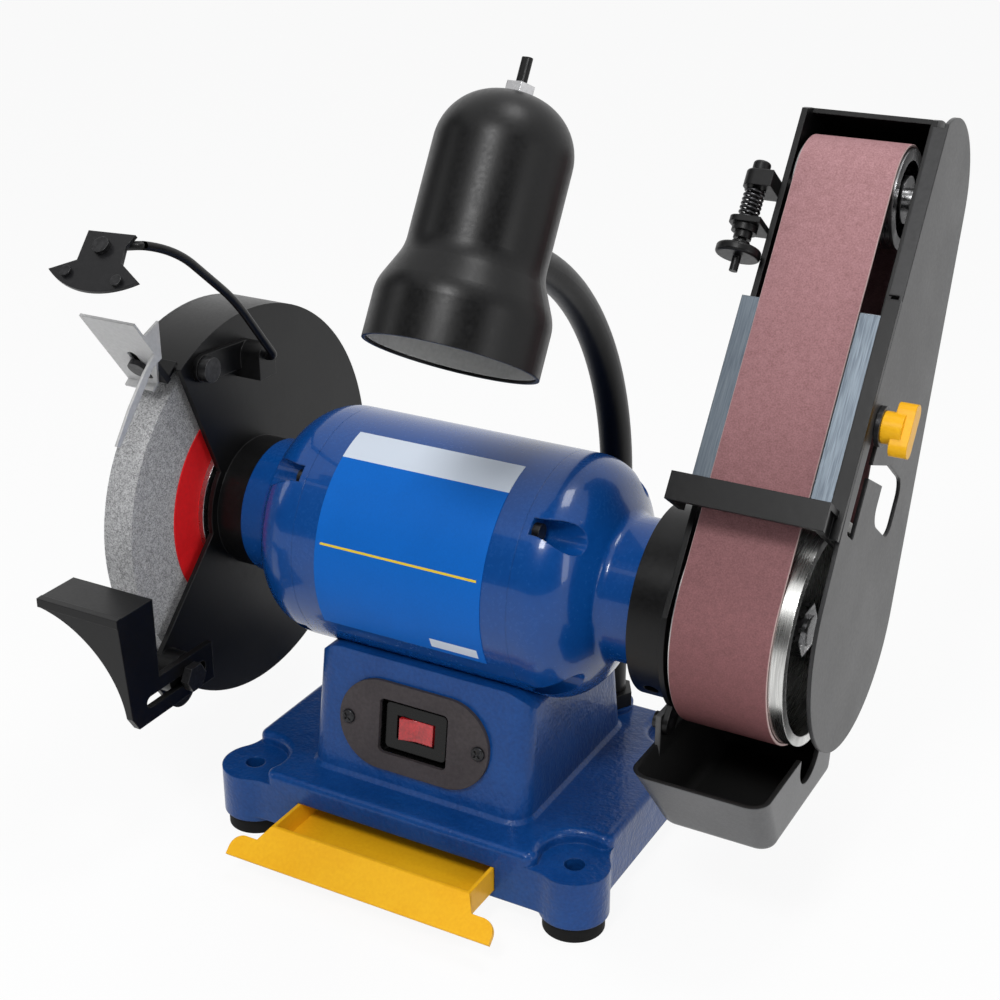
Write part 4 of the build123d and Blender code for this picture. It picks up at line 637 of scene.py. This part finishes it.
def beltPath(steps, driveRadius, idlerRadius):
    # two circles and the lines that touch both, by length along the loop;
    # gives points and outward normals in (front, up)
    reach = idlerAxis - shaft
    centre = np.array([reach @ armFront, reach @ armUp])
    span = np.hypot(*centre)
    base = math.atan2(centre[1], centre[0])
    spread = math.acos((driveRadius - idlerRadius) / span)
    angles = (base - spread, base + spread)
    turnDrive = 2 * math.pi - 2 * spread
    turnIdler = 2 * spread
    run = math.sqrt(span * span - (driveRadius - idlerRadius) ** 2)
    lengths = np.array([idlerRadius * turnIdler, run, driveRadius * turnDrive, run])
    marks = np.concatenate([[0.0], np.cumsum(lengths)])
    travel = np.linspace(0.0, marks[-1], steps, endpoint=False)
    facing = np.empty(steps)
    spot = np.empty((steps, 2))
    onIdler = travel < marks[1]
    backRun = (travel >= marks[1]) & (travel < marks[2])
    onDrive = (travel >= marks[2]) & (travel < marks[3])
    frontRun = travel >= marks[3]
    facing[onIdler] = angles[0] + travel[onIdler] / idlerRadius
    facing[backRun] = angles[1]
    facing[onDrive] = angles[1] + (travel[onDrive] - marks[2]) / driveRadius
    facing[frontRun] = angles[0]
    normal = np.stack([np.cos(facing), np.sin(facing)], -1)
    upper = centre + idlerRadius * normal
    lower = driveRadius * normal
    spot[onIdler] = upper[onIdler]
    spot[onDrive] = lower[onDrive]
    share = ((travel[backRun] - marks[1]) / run)[:, None]
    spot[backRun] = upper[backRun] * (1 - share) + lower[backRun] * share
    share = ((travel[frontRun] - marks[3]) / run)[:, None]
    spot[frontRun] = lower[frontRun] * (1 - share) + upper[frontRun] * share
    return spot, normal, marks[-1]


def roundedStrip(width, thickness, radius, perCorner=4):
    # a flat strip's section, a quarter circle at each corner, as (across, out) points in order
    angle = np.linspace(0.0, math.pi / 2, perCorner)
    side, top = width / 2 - radius, thickness - radius
    corners = []
    middles = ((side, top), (-side, top), (-side, radius), (side, radius))
    for number, middle in enumerate(middles):
        turn = number * math.pi / 2 + angle
        corners.append(middle + radius * np.stack([np.cos(turn), np.sin(turn)], -1))
    return np.concatenate(corners)


def beltFinish(look):
    # grit on cloth: speckled tones, painted shade that darkens the run low down, paler at the edges of the strip
    mat, tree, shader = newFinish("beltGritFinish")
    coord = objectCoord(tree)
    grit = addNoise(tree, coord, look["grit"], "grit")
    patch = addNoise(tree, coord, look["patch"], "patch")
    patch.inputs["Roughness"].default_value = look["patchRough"]
    share = calc(tree, "ADD", calc(tree, "MULTIPLY", grit.outputs["Fac"], look["gritShare"]),
                 calc(tree, "MULTIPLY", patch.outputs["Fac"], look["patchShare"]))
    value = mapRange(tree, share, *spreads["belt"])
    unshadedColor = blendColor(tree, value, rgba(look["dark"]), rgba(look["light"]))
    # darker copies of the two tones, for the painted shade low on the run
    shadedDark, shadedLight = (rgba(np.multiply(look[key], look["loaded"]).tolist())
                               for key in ("dark", "light"))
    full = blendColor(tree, value, shadedDark, shadedLight)
    split = tree.nodes.new("ShaderNodeSeparateXYZ")
    tree.links.new(coord, split.inputs[0])
    load = mapRange(tree, split.outputs["Z"], look["shadeHigh"], look["shadeLow"])   # painted shade: darker low on the run
    color = blendColor(tree, load, unshadedColor, full)
    across = tree.nodes.new("ShaderNodeAttribute")
    across.attribute_name = "across"
    rim = mapRange(tree, across.outputs["Fac"], 1.0 - look["edgeShare"], 1.0)
    color = blendColor(tree, rim, color, rgba(look["edgeColor"]))
    tree.links.new(color, shader["Base Color"])
    shader["Roughness"].default_value = look["rough"]
    shader["Specular IOR Level"].default_value = look["specular"]
    addBump(tree, shader, share, None, look["bump"], look["depth"])
    return mat


def makeBelt(look):
    # the strip's section carried round the path, square to it
    low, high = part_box("abrasive_belt")
    width = high[0] - low[0]
    spot, normal, length = beltPath(look["steps"], look["driveRadius"], look["idlerRadius"])
    section = roundedStrip(width, look["thickness"], look["edgeRound"])
    out = spot[:, None, :] + normal[:, None, :] * section[None, :, 1:2]
    points = shaft[None, None, :] + out[..., :1] * armFront + out[..., 1:] * armUp
    points[..., 0] = (low[0] + high[0]) / 2 + section[None, :, 0]
    belt = gridPiece(look["name"], points, wrapRows=True, wrapCols=True)
    across = np.abs(np.tile(section[:, 0], look["steps"])) / (width / 2)   # 1 at the edges
    mark = belt.data.attributes.new("across", "FLOAT", "POINT")
    mark.data.foreach_set("value", across.astype(np.float32))
    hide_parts("abrasive_belt")
    finishPiece(belt, "belt_mauve", "arm", beltFinish(look))
    print("belt:", round(length * 1000), "mm round")


springLook = {"name": "springCoil", "turns": 7.0, "radius": 0.0047, "wire": 0.00075,
              "low": 0.01455, "high": 0.03145, "steps": 420, "around": 10,
              "swing": 0.055, "closing": 1.15, "closedShare": 0.65}


def makeSpring(look):
    # a helix whose pitch closes up over the end turns, with a round wire carried along it
    share = np.linspace(0.0, 1.0, look["steps"])
    eased = np.clip(share + look["swing"] * np.sin(2 * np.pi * share), 0.0, 1.0)
    closed = np.clip(look["closing"] * (share - 0.5) + 0.5, 0.0, 1.0)
    climb = look["closedShare"] * closed + (1 - look["closedShare"]) * eased
    height = look["high"] - look["low"] - 2 * look["wire"]
    rise = look["low"] + look["wire"] + height * climb
    angle = 2 * np.pi * look["turns"] * share
    side = np.array([1.0, 0.0, 0.0])
    outward = np.cos(angle)[:, None] * side + np.sin(angle)[:, None] * armFront
    foot = np.array(joints["tracking_turn"]["pos_m"])
    line = foot + rise[:, None] * armUp + look["radius"] * outward
    way = np.gradient(line, axis=0)
    way /= np.linalg.norm(way, axis=1, keepdims=True)
    upward = np.cross(way, outward)
    circle = np.linspace(0.0, 2 * np.pi, look["around"], endpoint=False)
    rim = (np.cos(circle)[None, :, None] * outward[:, None]
           + np.sin(circle)[None, :, None] * upward[:, None])
    points = line[:, None] + look["wire"] * rim
    coil = gridPiece(look["name"], points[:, ::-1], wrapCols=True, capRows=True)
    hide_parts("tracking_spring")
    finishPiece(coil, "spring_steel", "arm")


makeBelt(beltLook)
makeSpring(springLook)
print("new pieces made")


# finishes on the CAD nodes, by the record's slots

slotOf = {part["node"]: part["material_slot"] for part in frame["record"]["subparts"]}
for name, obj in nodes.items():
    finish = finishes.get(slotOf[name])
    if finish is None:
        continue   # the belt, whose place a new piece takes
    for slot in obj.material_slots:
        slot.material = finish


# floor, and a dark cloth that only reflections see

floorLook = {"half": 12.0, "tone": (0.90, 0.90, 0.90), "glow": (1.0, 1.0, 1.0), "white": 0.92}

floorCorners = np.array([[[-1, -1, 0], [-1, 1, 0]], [[1, -1, 0], [1, 1, 0]]], float)
floor = gridPiece("floor", floorCorners * floorLook["half"])
floorMat = bpy.data.materials.new("paleFloor")
floorMat.use_nodes = True
floorTree = floorMat.node_tree
floorTree.nodes.clear()
matte = floorTree.nodes.new("ShaderNodeBsdfDiffuse")
matte.inputs["Color"].default_value = rgba(floorLook["tone"])
glow = floorTree.nodes.new("ShaderNodeEmission")
glow.inputs["Color"].default_value = rgba(floorLook["glow"])
floorMix = floorTree.nodes.new("ShaderNodeMixShader")
floorOut = floorTree.nodes.new("ShaderNodeOutputMaterial")
seenShare = calc(floorTree, "MULTIPLY", seenRay(floorTree), floorLook["white"])
floorTree.links.new(seenShare, floorMix.inputs[0])
floorTree.links.new(matte.outputs[0], floorMix.inputs[1])
floorTree.links.new(glow.outputs[0], floorMix.inputs[2])
floorTree.links.new(floorMix.outputs[0], floorOut.inputs[0])
floor.data.materials.append(floorMat)

wallLook = {"radius": 3.0, "low": 0.30, "high": 2.9, "left": -105.0, "right": 78.0,
            "steps": 60, "tone": (0.015, 0.015, 0.015), "rough": 0.9}

# an upright strip of a cylinder; its angles count from the front, towards the right
wallAngle = np.radians(np.linspace(wallLook["left"], wallLook["right"], wallLook["steps"]))
wallRing = np.stack([np.sin(wallAngle), -np.cos(wallAngle), 0 * wallAngle], -1)
wallRows = [wallLook["radius"] * wallRing + [0, 0, wallLook[key]] for key in ("low", "high")]
wall = gridPiece("darkWall", np.stack(wallRows))
wallMat, _, wallShader = newFinish("wallCloth")
wallShader["Base Color"].default_value = rgba(wallLook["tone"])
wallShader["Roughness"].default_value = wallLook["rough"]
wall.data.materials.append(wallMat)
wall.visible_camera = False
wall.visible_diffuse = False
wall.visible_shadow = False
print("floor and cloth placed")
